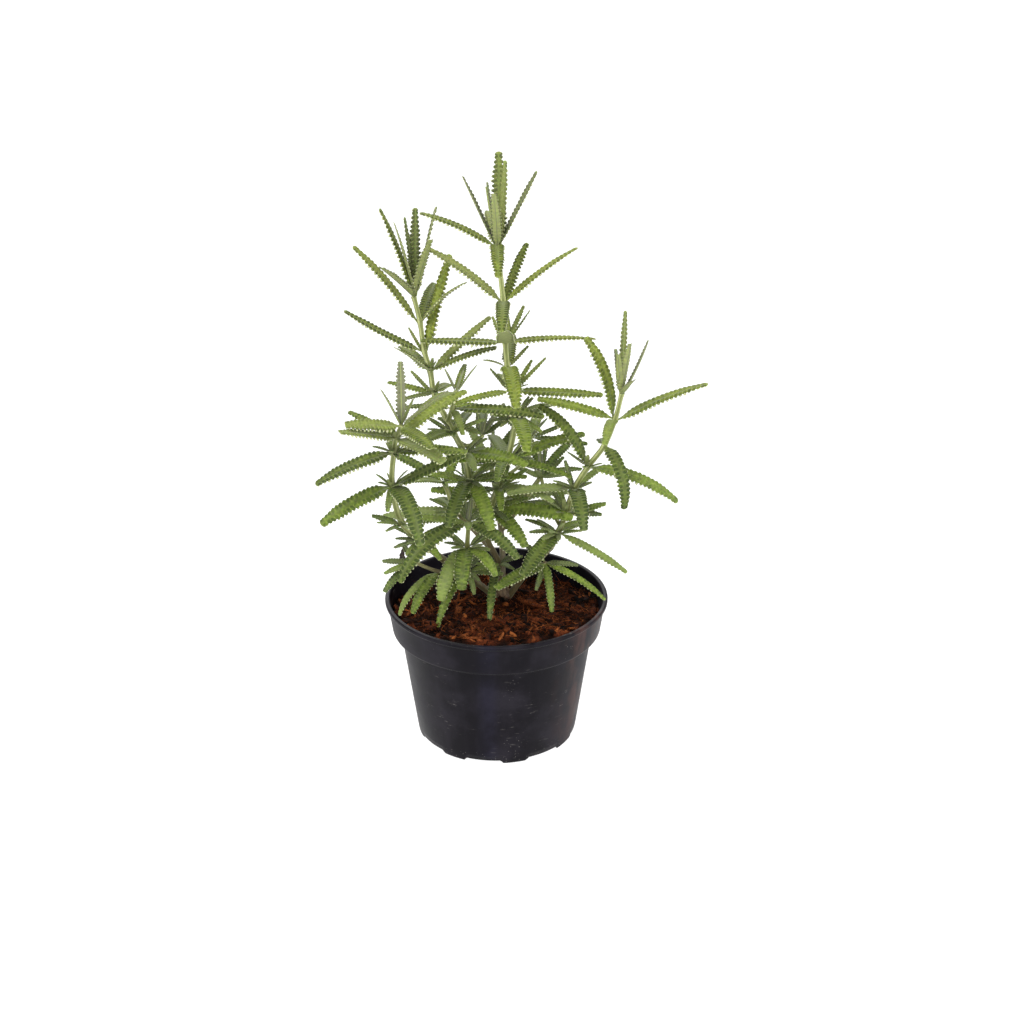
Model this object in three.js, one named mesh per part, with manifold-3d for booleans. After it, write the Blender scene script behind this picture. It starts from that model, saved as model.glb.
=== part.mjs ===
// A young fringed lavender growing in a plastic nursery pot.
//
// Millimetres, +Z up, +X to the right of the plant's front, which faces -Y.
// The origin is the centre of the pot's flat underside, where it stands.
//
// The plant is drawn the way it grows. A root crown sits in the potting mix, stems climb
// from it through a few joints each, and at every joint a collar of leaves clasps the stem.
// Side stems leave the axil just above a joint. Leaves are narrow blades that start at the
// collar and bend along an arc of a circle.

import * as THREE from 'three';
import { mergeVertices } from 'three/addons/utils/BufferGeometryUtils.js';
import Module from 'manifold-3d';

const wasm = await Module();
wasm.setup();

// ---------------------------------------------------------------- driving dimensions

const GAP = 0.3;                    // clear space between pieces that rest on each other

const POT_HEIGHT = 80;
const LIP_RADIUS = 60;              // outside of the lip: a 12 cm pot
const BASE_RADIUS = 43.5;
const WALL = 1.4;
const LIP_DEPTH = 2.6;              // height of the bead that ends the rim
const BAND_DEPTH = 18;              // height of the wide stacking band below the lip
const BAND_TOP_RADIUS = 58.6;
const BAND_FOOT_RADIUS = 56.2;
const SHOULDER_RADIUS = 52;         // outside of the wall where it meets the band
const SHOULDER_DEPTH = 2.4;
const CORNER = 2;                   // bevel round the edge of the underside
const FLOOR_THICKNESS = 1.8;
const DRAIN_COUNT = 8;
const DRAIN_WIDTH = 19;
const DRAIN_HEIGHT = 2.4;
const DRAIN_DEPTH = 8;              // how far a drain slot runs in from the outside

const MIX_EDGE_HEIGHT = 71;
const MIX_CENTRE_HEIGHT = 74;
const MIX_SLOPE = 0.12;             // how much the mix falls for each step towards the back

const CROWN_PLACE = new THREE.Vector2(3, 11);
const CROWN_RADIUS = 5.2;
const CROWN_FOOT = 58;
const CROWN_TOP = 79;
const CROWN_SPREAD = 3.6;           // how far from the crown's axis its stems rise
const CROWN_BITE = 3;               // how far below the crown's top they start

const STEM_SIDES = 6;
const STEM_STEP = 9;                // length of one straight step along a stem
const SPRIG_RADIUS = 1.1;
const AXIL = 0.3;                   // share of the way to the next joint where a side stem leaves

const COLLAR_THICKNESS = 0.5;       // half the thickness of the ring that a joint's leaves share
const COLLAR_SIDES = 3;
const COLLAR_STEPS = 7;
const LEAF_KEEL = 0.7;              // depth of the keel that a blade's midrib makes below it
const LEAF_FULL_WIDTH = 7;
const LEAF_STEP = 17;               // length and bend of one straight step along a leaf
const LEAF_STEP_BEND = 26;
const TUFT_FAN = 38;                // turn between the neighbours in a tuft of small leaves
const TUFT_LIFT = 24;               // how much steeper its middle leaf rises
const TUFT_DROOP = 14;
const POT_SIDES = 40;

const DEGREE = Math.PI / 180;
const UP = new THREE.Vector3(0, 0, 1);

// ---------------------------------------------------------------- the plant, joint by joint

// A leaf leaves its joint towards turn (degrees about +Z, 0 is +X, 90 is away from the front)
// at an angle of rise above level, and bends downwards by droop over its length.
function leaf(turn, rise, length, droop, width = Math.min(LEAF_FULL_WIDTH, 1.4 + 0.13 * length)) {
  return { turn, rise, length, droop, width };
}

// A tuft of three small leaves, fanned about its middle one, from the axil of a bigger leaf.
function tuft(turn, rise, length) {
  return [
    leaf(turn - TUFT_FAN, rise, length, TUFT_DROOP),
    leaf(turn, rise + TUFT_LIFT, 0.8 * length, TUFT_DROOP),
    leaf(turn + TUFT_FAN, rise - 6, 0.9 * length, TUFT_DROOP),
  ];
}

// A joint is a place on a stem, and the leaves that grow there.
function joint(x, y, z, ...leaves) {
  return { place: new THREE.Vector3(x, y, z), leaves };
}

// The stems, each from its foot to its tip. A stem grows from the crown, or from the axil
// above one of the joints of an earlier stem. A sprig is a short stem, one piece with its leaves.
const STEMS = [
  {
    name: 'leader', radius: 1.8, from: 'crown',
    joints: [
      joint(1, 10, 94, leaf(262, 10, 42, 66, 5), ...tuft(205, 22, 15), ...tuft(330, 26, 14)),
      joint(-5, 6, 111),
      joint(-3, 5, 129, leaf(345, 12, 44, 26, 8), leaf(306, 2, 33, 44, 7.5), leaf(120, 8, 38, 30),
        ...tuft(262, 14, 20), ...tuft(35, 26, 20)),
      joint(1, 4, 141, leaf(335, 24, 32, 56), leaf(222, 14, 30, 30), leaf(84, 12, 40, 34),
        leaf(275, 22, 26, 50, 5), ...tuft(300, 40, 14), ...tuft(15, 14, 22)),
      joint(6, 2, 158, leaf(11, 26, 42, 20), leaf(200, 16, 34, 20), leaf(262, 30, 36, 52),
        leaf(104, 10, 40, 26), ...tuft(228, 2, 16), ...tuft(340, 40, 20), leaf(345, 2, 34, 24, 5)),
      joint(10, 0, 182, leaf(279, 28, 44, 60, 8), leaf(311, 10, 20, 30), leaf(156, 14, 34, 22),
        leaf(52, 6, 34, 24), ...tuft(240, 8, 12), ...tuft(10, 44, 16)),
      joint(8, 0, 197, leaf(352, 2, 46, 4), leaf(207, 4, 31, 16), leaf(168, 48, 15, 0),
        leaf(23, 54, 18, 0), leaf(0, 47, 24, 0), leaf(99, 10, 42, 40), ...tuft(300, 40, 10)),
      joint(6, 0, 210, leaf(276, 20, 42, 62, 8), leaf(199, 35, 13, 24), leaf(18, 45, 14, 0),
        leaf(86, 22, 40, 34)),
      joint(5, 0, 223, leaf(270, 30, 38, 4, 8), leaf(4, 8, 45, 14), leaf(169, 0, 43, 4),
        leaf(144, 59, 14, 0), leaf(36, 59, 20, 0), leaf(350, 57, 21, 0), leaf(92, 20, 42, 30)),
      joint(4, 1, 244, leaf(162, 42, 46, 20), leaf(9, 44, 45, 16), leaf(66, 53, 34, 14),
        leaf(270, 26, 41, 60)),
      joint(1, 4, 272, leaf(105, 84, 46, 2), leaf(40, 83, 42, -2, 5), leaf(172, 64, 38, -2),
        leaf(5, 64, 41, 2), leaf(268, 64, 32, -6, 6), leaf(172, 34, 41, 24), leaf(270, 22, 41, 58),
        leaf(145, 80, 32, -4, 4), leaf(200, 78, 31, -4, 4), leaf(95, 30, 42, 40)),
    ],
  },
  {
    name: 'left_stem', radius: 1.7, from: ['leader', 1],
    joints: [
      joint(-11, 3, 129),
      joint(-14, 2, 146, leaf(195, 22, 23, 10), leaf(255, 12, 38, 62, 7.5),
        leaf(290, 8, 38, 62, 7.5), leaf(338, 22, 32, 20), leaf(95, 15, 40, 30),
        ...tuft(225, 28, 16), ...tuft(312, 34, 18), ...tuft(15, 22, 22)),
      joint(-17, 2, 162, leaf(330, 16, 38, 30, 8), leaf(165, 10, 30, 20), ...tuft(240, 32, 14),
        ...tuft(355, 30, 16), leaf(286, 20, 24, 44, 5)),
      joint(-22, 2, 173, leaf(248, 26, 36, 24, 7.5), leaf(331, 38, 21, 16), leaf(126, 44, 18, 8),
        leaf(75, 12, 34, 26), ...tuft(200, 34, 16), ...tuft(290, 34, 14)),
      joint(-32, 10, 192, leaf(162, 12, 25, 8, 5), leaf(214, 8, 20, 14), leaf(169, 46, 16, 0),
        leaf(74, 2, 34, 30), ...tuft(300, 40, 12)),
      joint(-34, 13, 203, leaf(234, 44, 33, 14), leaf(347, 34, 38, 20), leaf(18, 44, 41, 10),
        leaf(120, 20, 36, 30), ...tuft(290, 50, 11)),
      joint(-37, 16, 213, leaf(177, 24, 45, -8), leaf(36, 78, 51, 10), leaf(163, 59, 14, 0),
        leaf(337, 60, 12, 0)),
      joint(-39, 18, 228, leaf(176, 59, 51, 16), leaf(330, 58, 37, 30), leaf(80, 30, 38, 30)),
      joint(-42, 20, 241, leaf(180, 78, 49, 14), leaf(214, 78, 42, 6, 6), leaf(95, 86, 45, 2, 6),
        leaf(9, 79, 47, 6), leaf(305, 68, 37, 8, 6.5), leaf(231, 44, 31, 6, 7.5),
        leaf(95, 45, 40, 20), leaf(150, 83, 41, 0, 4)),
    ],
  },
  {
    name: 'inner_stem', radius: 1.5, from: ['left_stem', 3],
    joints: [
      joint(-22, -2, 188, leaf(345, 10, 48, 18), leaf(284, 10, 24, 46), leaf(192, 16, 26, 20)),
      joint(-20, -4, 198, leaf(347, 58, 18, 4, 4), leaf(32, 67, 11, 0, 3),
        leaf(239, 14, 38, 32, 7.5), leaf(156, 62, 12, 0, 3), leaf(80, 20, 24, 10)),
    ],
  },
  {
    name: 'front_left_stem', radius: 1.7, from: 'crown',
    joints: [
      joint(-11, 1, 87),
      joint(-27, -12, 106),
      joint(-40, -22, 123, leaf(142, -10, 20, 40), leaf(300, 16, 24, 40), leaf(20, 24, 20, 12),
        ...tuft(205, 30, 14), ...tuft(262, 12, 16)),
      joint(-48, -26, 134, leaf(195, 28, 16, 8, 4.5), leaf(26, 0, 30, 16), ...tuft(250, 24, 14)),
      joint(-52, -33, 158, leaf(200, -11, 40, 24, 8), leaf(293, 20, 46, 84, 8),
        leaf(264, -10, 16, 36, 4), leaf(0, 30, 40, 10), ...tuft(235, 52, 10),
        ...tuft(330, 34, 16)),
      joint(-50, -42, 180, leaf(197, -6, 41, 26, 8), leaf(343, 16, 38, 16), leaf(104, 20, 20, 30),
        ...tuft(250, 34, 12), ...tuft(305, 34, 14)),
      joint(-48, -50, 191, leaf(214, 24, 32, 12, 7.5), leaf(311, 12, 36, 28, 7.5),
        leaf(148, 18, 29, 8), leaf(33, 30, 42, 14), ...tuft(262, 40, 11)),
      joint(-45, -55, 199, leaf(91, 54, 32, 6, 6), leaf(198, 14, 27, 12, 7.5),
        leaf(206, 66, 22, 4, 5), leaf(314, 60, 18, 0, 4), leaf(330, 44, 34, 6, 6.5),
        leaf(303, 12, 30, 26, 7.5)),
    ],
  },
  {
    name: 'right_stem', radius: 1.7, from: 'crown',
    joints: [
      joint(17, 9, 90),
      joint(29, 5, 106),
      joint(33, 2, 116, leaf(352, -22, 42, 16, 5), leaf(240, 2, 38, 36, 8), leaf(60, 0, 34, 30),
        ...tuft(200, 22, 18), ...tuft(290, 32, 16)),
      joint(37, 1, 128, leaf(344, 26, 22, 8, 5), leaf(353, 8, 18, 14, 5), leaf(82, -5, 24, 40),
        ...tuft(140, 32, 18), ...tuft(262, 46, 14)),
      joint(41, -2, 143, leaf(277, 30, 36, 96, 7.5), leaf(141, 70, 15, 0, 3.5),
        leaf(196, 12, 36, 20), leaf(40, 30, 22, 20), ...tuft(235, 34, 12), ...tuft(330, 34, 10)),
      joint(48, -5, 157, leaf(350, 2, 50, 42), leaf(166, 76, 42, 52), leaf(200, 40, 14, 0),
        ...tuft(275, 42, 12)),
      joint(56, -8, 170, leaf(296, 2, 40, 110), leaf(95, -6, 26, 20)),
      joint(61, -10, 185, leaf(165, 90, 46, 38), leaf(354, 35, 50, 20), leaf(175, 20, 40, 12),
        leaf(258, 28, 32, 62)),
      joint(64, -12, 200, leaf(60, 84, 42, -2, 4.5), leaf(302, 74, 30, -2, 6.5),
        leaf(351, 62, 31, -12, 5), leaf(290, 44, 20, 10, 5.5), leaf(255, 72, 25, 4, 5),
        leaf(119, 74, 22, 0, 4.5)),
    ],
  },
  {
    name: 'front_stem', radius: 1.6, from: ['front_left_stem', 0],
    joints: [
      joint(-15, -10, 99, leaf(237, -6, 36, 66, 5), leaf(290, -24, 13, 34, 3.5),
        leaf(350, 6, 18, 14, 5), ...tuft(265, 10, 12), ...tuft(30, 24, 16)),
      joint(-15, -16, 116, leaf(236, -4, 34, 80, 8), leaf(262, 10, 28, 88, 8),
        leaf(309, 20, 26, 80, 6.5), ...tuft(195, 32, 14), ...tuft(340, 34, 18)),
      joint(-14, -20, 132, leaf(214, 4, 50, 66, 8), leaf(195, 20, 30, 16), leaf(322, 4, 34, 50, 7),
        leaf(110, 40, 8, 0, 3), ...tuft(25, 6, 14), ...tuft(80, 32, 16),
        leaf(270, 32, 24, 30, 4.5)),
    ],
  },
  {
    name: 'back_stem', radius: 1.6, from: 'crown',
    joints: [
      joint(3, 27, 98),
      joint(0, 42, 116, leaf(10, 16, 40, 24), leaf(164, 16, 38, 24), leaf(92, -4, 36, 30),
        ...tuft(230, 30, 16)),
      joint(-3, 50, 134, leaf(60, 40, 30, 20), leaf(120, 40, 30, 20), leaf(200, 50, 24, 10),
        leaf(330, 50, 24, 10), leaf(95, 70, 20, 0, 4), ...tuft(240, 40, 14)),
    ],
  },
  {
    name: 'back_left_stem', radius: 1.6, from: ['leader', 0],
    joints: [
      joint(-9, 22, 104),
      joint(-22, 34, 114, leaf(182, 6, 40, 20), leaf(110, 4, 38, 30), leaf(262, 26, 24, 20),
        ...tuft(215, 34, 16), ...tuft(330, 30, 16)),
      joint(-29, 42, 128, leaf(150, 30, 36, 24), leaf(228, 30, 30, 24), leaf(70, 34, 30, 20),
        leaf(180, 62, 20, 0, 4), ...tuft(300, 30, 14)),
    ],
  },
  {
    name: 'back_right_stem', radius: 1.6, from: ['back_stem', 0],
    joints: [
      joint(14, 36, 118, leaf(350, 10, 40, 26), leaf(72, 4, 38, 30), leaf(130, 26, 28, 20),
        ...tuft(280, 34, 16)),
      joint(26, 42, 134, leaf(55, 30, 30, 24), leaf(330, 26, 24, 18), leaf(110, 34, 30, 20),
        leaf(200, 50, 20, 8), leaf(60, 70, 18, 0, 4), ...tuft(240, 30, 12)),
    ],
  },
  {
    name: 'low_left_sprig', sprig: true, from: ['front_left_stem', 0],
    joints: [
      joint(-30, -21, 104, leaf(202, -12, 32, 64, 4.5), leaf(222, -20, 26, 50, 6)),
      joint(-43, -30, 114, leaf(200, 16, 16, 8, 4.5), leaf(222, 6, 18, 14, 4.5),
        leaf(226, -10, 22, 34, 5), leaf(124, 35, 12, 8, 3.5)),
    ],
  },
  {
    name: 'low_right_sprig', sprig: true, from: ['right_stem', 0],
    joints: [
      joint(23, 0, 95),
      joint(26, -6, 102, leaf(350, 5, 17, 10, 4), leaf(332, -6, 38, 30, 4.5),
        leaf(280, -20, 28, 50, 4.5), leaf(225, 4, 36, 16, 7), leaf(250, -30, 16, 20, 3.5),
        leaf(140, 30, 16, 10, 4)),
    ],
  },
  {
    name: 'back_sprig', sprig: true, from: ['leader', 3],
    joints: [
      joint(14, 22, 148),
      joint(19, 38, 156, leaf(10, 50, 13, 0, 3.5), leaf(355, 26, 20, 0, 3.5), leaf(150, 50, 16, 0),
        leaf(0, -4, 30, 6, 5), leaf(80, 20, 36, 30), leaf(125, 20, 34, 30)),
    ],
  },
  {
    name: 'inner_sprig', sprig: true, from: ['left_stem', 2],
    joints: [
      joint(-11, 11, 163),
      joint(-7, 18, 165, leaf(30, 50, 20, 4, 5), leaf(60, 66, 14, 0, 3), leaf(10, 36, 18, 4, 4),
        leaf(120, 60, 14, 0, 3.5), leaf(92, 15, 36, 30), leaf(160, 24, 26, 20)),
    ],
  },
  {
    name: 'right_sprig', sprig: true, from: ['right_stem', 2],
    joints: [
      joint(28, 12, 128),
      joint(24, 22, 139, leaf(20, 40, 16, 0), leaf(100, 60, 16, 0), leaf(180, 30, 18, 0),
        leaf(260, 40, 18, 10), leaf(320, 20, 20, 0), leaf(40, 14, 15, 30), leaf(140, 20, 17, 30)),
    ],
  },
];

// ---------------------------------------------------------------- finishes

function finish(colour, roughness) {
  return new THREE.MeshStandardMaterial({ color: colour, roughness, metalness: 0 });
}

const FINISHES = {
  pot: finish(0x2d2b30, 0.55),
  mix: finish(0x4a2416, 0.95),
  crown: finish(0x5a4a38, 0.9),
  stem: finish(0x93a467, 0.8),
  leaf: finish(0x6f8a35, 0.75),
};

// ---------------------------------------------------------------- solids

// A closed geometry as a solid that can be cut and joined.
function solidOf(geometry) {
  geometry.deleteAttribute('normal');
  geometry.deleteAttribute('uv');
  const merged = mergeVertices(geometry, 1e-4);
  const position = merged.getAttribute('position');
  const mesh = new wasm.Mesh({
    numProp: 3,
    vertProperties: Float32Array.from(position.array),
    triVerts: Uint32Array.from(merged.getIndex().array),
  });
  return new wasm.Manifold(mesh);
}

function geometryOf(solid) {
  const mesh = solid.getMesh();
  const geometry = new THREE.BufferGeometry();
  geometry.setAttribute('position', new THREE.BufferAttribute(mesh.vertProperties, 3));
  geometry.setIndex(new THREE.BufferAttribute(mesh.triVerts, 1));
  geometry.computeVertexNormals();
  return geometry;
}

// A closed profile of [radius, height] pairs turned about +Z.
function turned(profile, sides) {
  const points = profile.map(([radius, height]) => new THREE.Vector2(radius, height));
  return new THREE.LatheGeometry(points, sides).rotateX(Math.PI / 2);
}

function tube(path, radius) {
  const outline = new THREE.Shape();
  for (let side = 0; side < STEM_SIDES; side += 1) {
    const angle = (side * 2 * Math.PI) / STEM_SIDES;
    const x = radius * Math.cos(angle);
    const y = radius * Math.sin(angle);
    if (side === 0) outline.moveTo(x, y);
    else outline.lineTo(x, y);
  }
  outline.closePath();
  const steps = Math.max(2, Math.ceil(path.getLength() / STEM_STEP));
  return new THREE.ExtrudeGeometry(outline, { steps, extrudePath: path, bevelEnabled: false });
}

// The share of a leaf's half width at a place along it, from 0 at its foot to 1 at its tip.
function leafOutline(along) {
  const foot = Math.min(1, 0.4 + 2.4 * along);
  const tip = Math.min(1, 0.3 + 3.2 * (1 - along));
  return foot * tip;
}

// A blade: a three-sided cylinder whose section is stretched until it is flat on top with a
// shallow keel below, and whose length is bent along an arc in the upright plane of its turn.
function blade({ turn, rise, length, droop, width }, foot) {
  const steps = Math.max(2, Math.ceil(length / LEAF_STEP), Math.ceil(droop / LEAF_STEP_BEND));
  const geometry = new THREE.CylinderGeometry(1, 1, 1, 3, steps);
  const position = geometry.getAttribute('position');
  const level = new THREE.Vector3(Math.cos(turn * DEGREE), Math.sin(turn * DEGREE), 0);
  const side = new THREE.Vector3().crossVectors(UP, level);
  const halfWidth = width / 2 / Math.sin((2 * Math.PI) / 3);
  const depth = LEAF_KEEL / 1.5;
  for (let index = 0; index < position.count; index += 1) {
    const along = position.getY(index) + 0.5;
    const angle = (rise - droop * along) * DEGREE;
    const halfway = (rise - (droop * along) / 2) * DEGREE;
    const halfBend = (droop * along * DEGREE) / 2;
    const chord = length * along * (Math.abs(halfBend) < 1e-6 ? 1 : Math.sin(halfBend) / halfBend);
    const lift = -position.getZ(index) * depth;
    const point = foot.clone();
    point.addScaledVector(level, chord * Math.cos(halfway) - lift * Math.sin(angle));
    point.addScaledVector(UP, chord * Math.sin(halfway) + lift * Math.cos(angle));
    point.addScaledVector(side, position.getX(index) * halfWidth * leafOutline(along));
    position.setXYZ(index, point.x, point.y, point.z);
  }
  return solidOf(geometry);
}

// The leaves of one joint and the collar that clasps the stem, as one solid.
function leafCollar(place, heading, stemRadius, leaves) {
  const ringRadius = stemRadius + GAP + COLLAR_THICKNESS;
  const ring = new THREE.TorusGeometry(ringRadius, COLLAR_THICKNESS, COLLAR_SIDES, COLLAR_STEPS);
  ring.applyQuaternion(new THREE.Quaternion().setFromUnitVectors(UP, heading));
  ring.translate(place.x, place.y, place.z);
  let whole = solidOf(ring);
  for (const one of leaves) {
    const outward = leafDirection(one).projectOnPlane(heading).normalize();
    const foot = place.clone().addScaledVector(outward, ringRadius);
    whole = whole.add(blade(one, foot));
  }
  return whole;
}

function leafDirection({ turn, rise }) {
  const level = Math.cos(rise * DEGREE);
  return new THREE.Vector3(
    level * Math.cos(turn * DEGREE),
    level * Math.sin(turn * DEGREE),
    Math.sin(rise * DEGREE),
  );
}

// ---------------------------------------------------------------- pot, mix and crown

function potSolid() {
  const lipFoot = POT_HEIGHT - LIP_DEPTH;
  const bandFoot = POT_HEIGHT - BAND_DEPTH;
  const shoulderFoot = bandFoot - SHOULDER_DEPTH;
  const profile = [
    [0, 0],
    [BASE_RADIUS - CORNER, 0],
    [BASE_RADIUS, CORNER],
    [SHOULDER_RADIUS, shoulderFoot],
    [BAND_FOOT_RADIUS, bandFoot],
    [BAND_TOP_RADIUS, lipFoot],
    [LIP_RADIUS, lipFoot + 0.4],
    [LIP_RADIUS, POT_HEIGHT],
    [LIP_RADIUS - 2 * WALL, POT_HEIGHT],
    [BAND_TOP_RADIUS - WALL, lipFoot],
    [BAND_FOOT_RADIUS - WALL, bandFoot + 1],
    [SHOULDER_RADIUS - WALL, shoulderFoot + 1],
    [BASE_RADIUS - WALL, CORNER + FLOOR_THICKNESS],
    [BASE_RADIUS - WALL - CORNER, FLOOR_THICKNESS],
    [0, FLOOR_THICKNESS],
  ];
  let pot = solidOf(turned(profile, POT_SIDES));
  for (let index = 0; index < DRAIN_COUNT; index += 1) {
    const slot = new THREE.BoxGeometry(2 * DRAIN_DEPTH, DRAIN_WIDTH, 2 * DRAIN_HEIGHT);
    slot.translate(BASE_RADIUS, 0, 0);
    slot.rotateZ(-Math.PI / 2 - 0.16 + (index * 2 * Math.PI) / DRAIN_COUNT);
    pot = pot.subtract(solidOf(slot));
  }
  return pot;
}

function mixSolid(crown) {
  const bandFoot = POT_HEIGHT - BAND_DEPTH;
  const shoulderFoot = bandFoot - SHOULDER_DEPTH;
  const inset = WALL + GAP;
  const profile = [
    [0, DRAIN_HEIGHT + GAP],
    [BASE_RADIUS - inset - CORNER, DRAIN_HEIGHT + GAP],
    [BASE_RADIUS - inset, CORNER + DRAIN_HEIGHT + GAP],
    [SHOULDER_RADIUS - inset, shoulderFoot + 1],
    [BAND_FOOT_RADIUS - inset, bandFoot + 1.6],
    [BAND_FOOT_RADIUS - inset, MIX_EDGE_HEIGHT],
    [LIP_RADIUS / 2, MIX_CENTRE_HEIGHT - 0.8],
    [0, MIX_CENTRE_HEIGHT],
  ];
  const mix = turned(profile, POT_SIDES);
  tiltTop(mix);
  return solidOf(mix).subtract(crown);
}

// Tilts the top of the mix down towards the back, and fits its edge to the inside of the band.
function tiltTop(mix) {
  const lipFoot = POT_HEIGHT - LIP_DEPTH;
  const bandFoot = POT_HEIGHT - BAND_DEPTH;
  const flare = (BAND_TOP_RADIUS - BAND_FOOT_RADIUS) / (lipFoot - bandFoot - 1);
  const position = mix.getAttribute('position');
  for (let index = 0; index < position.count; index += 1) {
    const point = new THREE.Vector3().fromBufferAttribute(position, index);
    if (point.z < MIX_EDGE_HEIGHT) continue;
    const onEdge = point.z < MIX_EDGE_HEIGHT + 0.1;
    point.z -= MIX_SLOPE * point.y;
    if (onEdge) {
      const wall = BAND_FOOT_RADIUS - WALL + flare * (point.z - bandFoot - 1);
      const reach = (wall - GAP) / Math.hypot(point.x, point.y);
      point.x *= reach;
      point.y *= reach;
    }
    position.setXYZ(index, point.x, point.y, point.z);
  }
}

function crownSolid(extra) {
  const profile = [
    [0, CROWN_FOOT - extra],
    [0.5 * CROWN_RADIUS + extra, CROWN_FOOT - extra],
    [CROWN_RADIUS + extra, CROWN_FOOT + 9],
    [0.9 * CROWN_RADIUS + extra, CROWN_TOP - 4],
    [0.6 * CROWN_RADIUS + extra, CROWN_TOP + extra],
    [0, CROWN_TOP + extra],
  ];
  const crown = turned(profile, 12);
  crown.translate(CROWN_PLACE.x, CROWN_PLACE.y, 0);
  return solidOf(crown);
}

// ---------------------------------------------------------------- assembly

const lavender = new THREE.Group();

function place(name, solid, material) {
  const mesh = new THREE.Mesh(geometryOf(solid), material);
  mesh.name = name;
  lavender.add(mesh);
}

const clearOfCrown = crownSolid(GAP);
place('nursery_pot', potSolid(), FINISHES.pot);
place('potting_mix', mixSolid(clearOfCrown), FINISHES.mix);
place('root_crown', crownSolid(0), FINISHES.crown);

// The foot of a stem: on the side of the crown that its first joint lies towards, or in the
// axil above a joint of the stem that bears it.
function footOf(stem, paths) {
  if (stem.from === 'crown') {
    const first = stem.joints[0].place;
    const foot = new THREE.Vector2(first.x, first.y).sub(CROWN_PLACE);
    foot.clampLength(0, CROWN_SPREAD).add(CROWN_PLACE);
    return new THREE.Vector3(foot.x, foot.y, CROWN_TOP - CROWN_BITE);
  }
  const [parent, index] = stem.from;
  const path = paths.get(parent).path;
  return path.getPoint((index + 1 + AXIL) / (path.points.length - 1));
}

const paths = new Map();

for (const stem of STEMS) {
  const radius = stem.sprig ? SPRIG_RADIUS : stem.radius;
  const points = [footOf(stem, paths), ...stem.joints.map((one) => one.place)];
  const path = new THREE.CatmullRomCurve3(points);
  paths.set(stem.name, { path, radius });

  let wood = solidOf(tube(path, radius));
  if (stem.from === 'crown') {
    wood = wood.subtract(clearOfCrown);
  } else {
    const bearer = paths.get(stem.from[0]);
    wood = wood.subtract(solidOf(tube(bearer.path, bearer.radius + GAP)));
  }

  stem.joints.forEach((one, index) => {
    if (one.leaves.length === 0) return;
    const heading = path.getTangent((index + 1) / (points.length - 1));
    if (stem.sprig) {
      wood = wood.add(leafCollar(one.place, heading, radius - GAP - COLLAR_THICKNESS, one.leaves));
    } else {
      const leaves = leafCollar(one.place, heading, radius, one.leaves);
      place(`${stem.name}_leaves_${index + 1}`, leaves, FINISHES.leaf);
    }
  });
  place(stem.name, wood, stem.sprig ? FINISHES.leaf : FINISHES.stem);
}

export default lavender;
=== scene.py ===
"""A young fringed lavender growing in a plastic nursery pot.

Sizes in the tables are millimetres and degrees; meshes are made in metres, +Z up, with the
plant's front towards -Y and the origin under the middle of the pot.
"""

import logging
import math
from dataclasses import dataclass, field, replace
from enum import Enum

import bpy
import numpy as np
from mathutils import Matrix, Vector
from numpy.typing import NDArray


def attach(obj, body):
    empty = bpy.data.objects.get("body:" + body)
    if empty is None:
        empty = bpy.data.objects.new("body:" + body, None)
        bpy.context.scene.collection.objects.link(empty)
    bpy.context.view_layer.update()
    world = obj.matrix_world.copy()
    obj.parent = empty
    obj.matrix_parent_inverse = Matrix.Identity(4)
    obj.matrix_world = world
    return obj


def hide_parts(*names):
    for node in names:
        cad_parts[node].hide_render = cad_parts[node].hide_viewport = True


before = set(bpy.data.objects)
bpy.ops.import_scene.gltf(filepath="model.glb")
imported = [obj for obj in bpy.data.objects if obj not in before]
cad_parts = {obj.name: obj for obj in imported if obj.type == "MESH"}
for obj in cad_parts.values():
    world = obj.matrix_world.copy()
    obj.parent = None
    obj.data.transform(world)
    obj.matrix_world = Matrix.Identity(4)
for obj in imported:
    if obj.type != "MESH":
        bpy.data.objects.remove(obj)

log = logging.getLogger("lavender")
Array = NDArray[np.float64]
MM = 0.001
UP = np.array([0.0, 0.0, 1.0])
CROWN: tuple[float, float] = (3.0, 11.0)


# ------------------------------------------------------------------ the plant's plan


class LeafAge(Enum):
    """How far a leaf has come in its life."""

    YOUNG = "young"
    GROWN = "grown"
    WITHERED = "withered"


@dataclass(frozen=True)
class Leaf:
    """A leaf: where it points, how it rises and droops, and its size in millimetres."""

    turn: float
    rise: float
    length: float
    droop: float
    width: float
    age: LeafAge = LeafAge.GROWN


@dataclass(frozen=True)
class Joint:
    """A place on a stem, in millimetres, and the leaves that grow there."""

    place: tuple[float, float, float]
    leaves: tuple[Leaf, ...] = ()


@dataclass(frozen=True)
class Stem:
    """A stem from its foot to its tip, and the stem and joint that bear it, if any."""

    name: str
    radius: float
    bearer: tuple[str, int] | None
    sprig: bool
    joints: tuple[Joint, ...]


WIDTH_LEAST = 1.4
WIDTH_PER_LENGTH = 0.13
WIDTH_LIMIT = 7.0
WITHERED_DROOP = 70.0
WITHERED_WIDTH = 3.6
TUFT_DROOP = 14.0

# Each leaf of a tuft: its turn from the middle, its rise over the first one's, and its share of
# the first one's length.
TUFT_PLAN: tuple[tuple[float, float, float], ...] = (
    (-38.0, 0.0, 1.0),
    (0.0, 24.0, 0.8),
    (38.0, -6.0, 0.9),
    (-19.0, -16.0, 0.8),
    (19.0, 12.0, 0.7),
)


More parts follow.
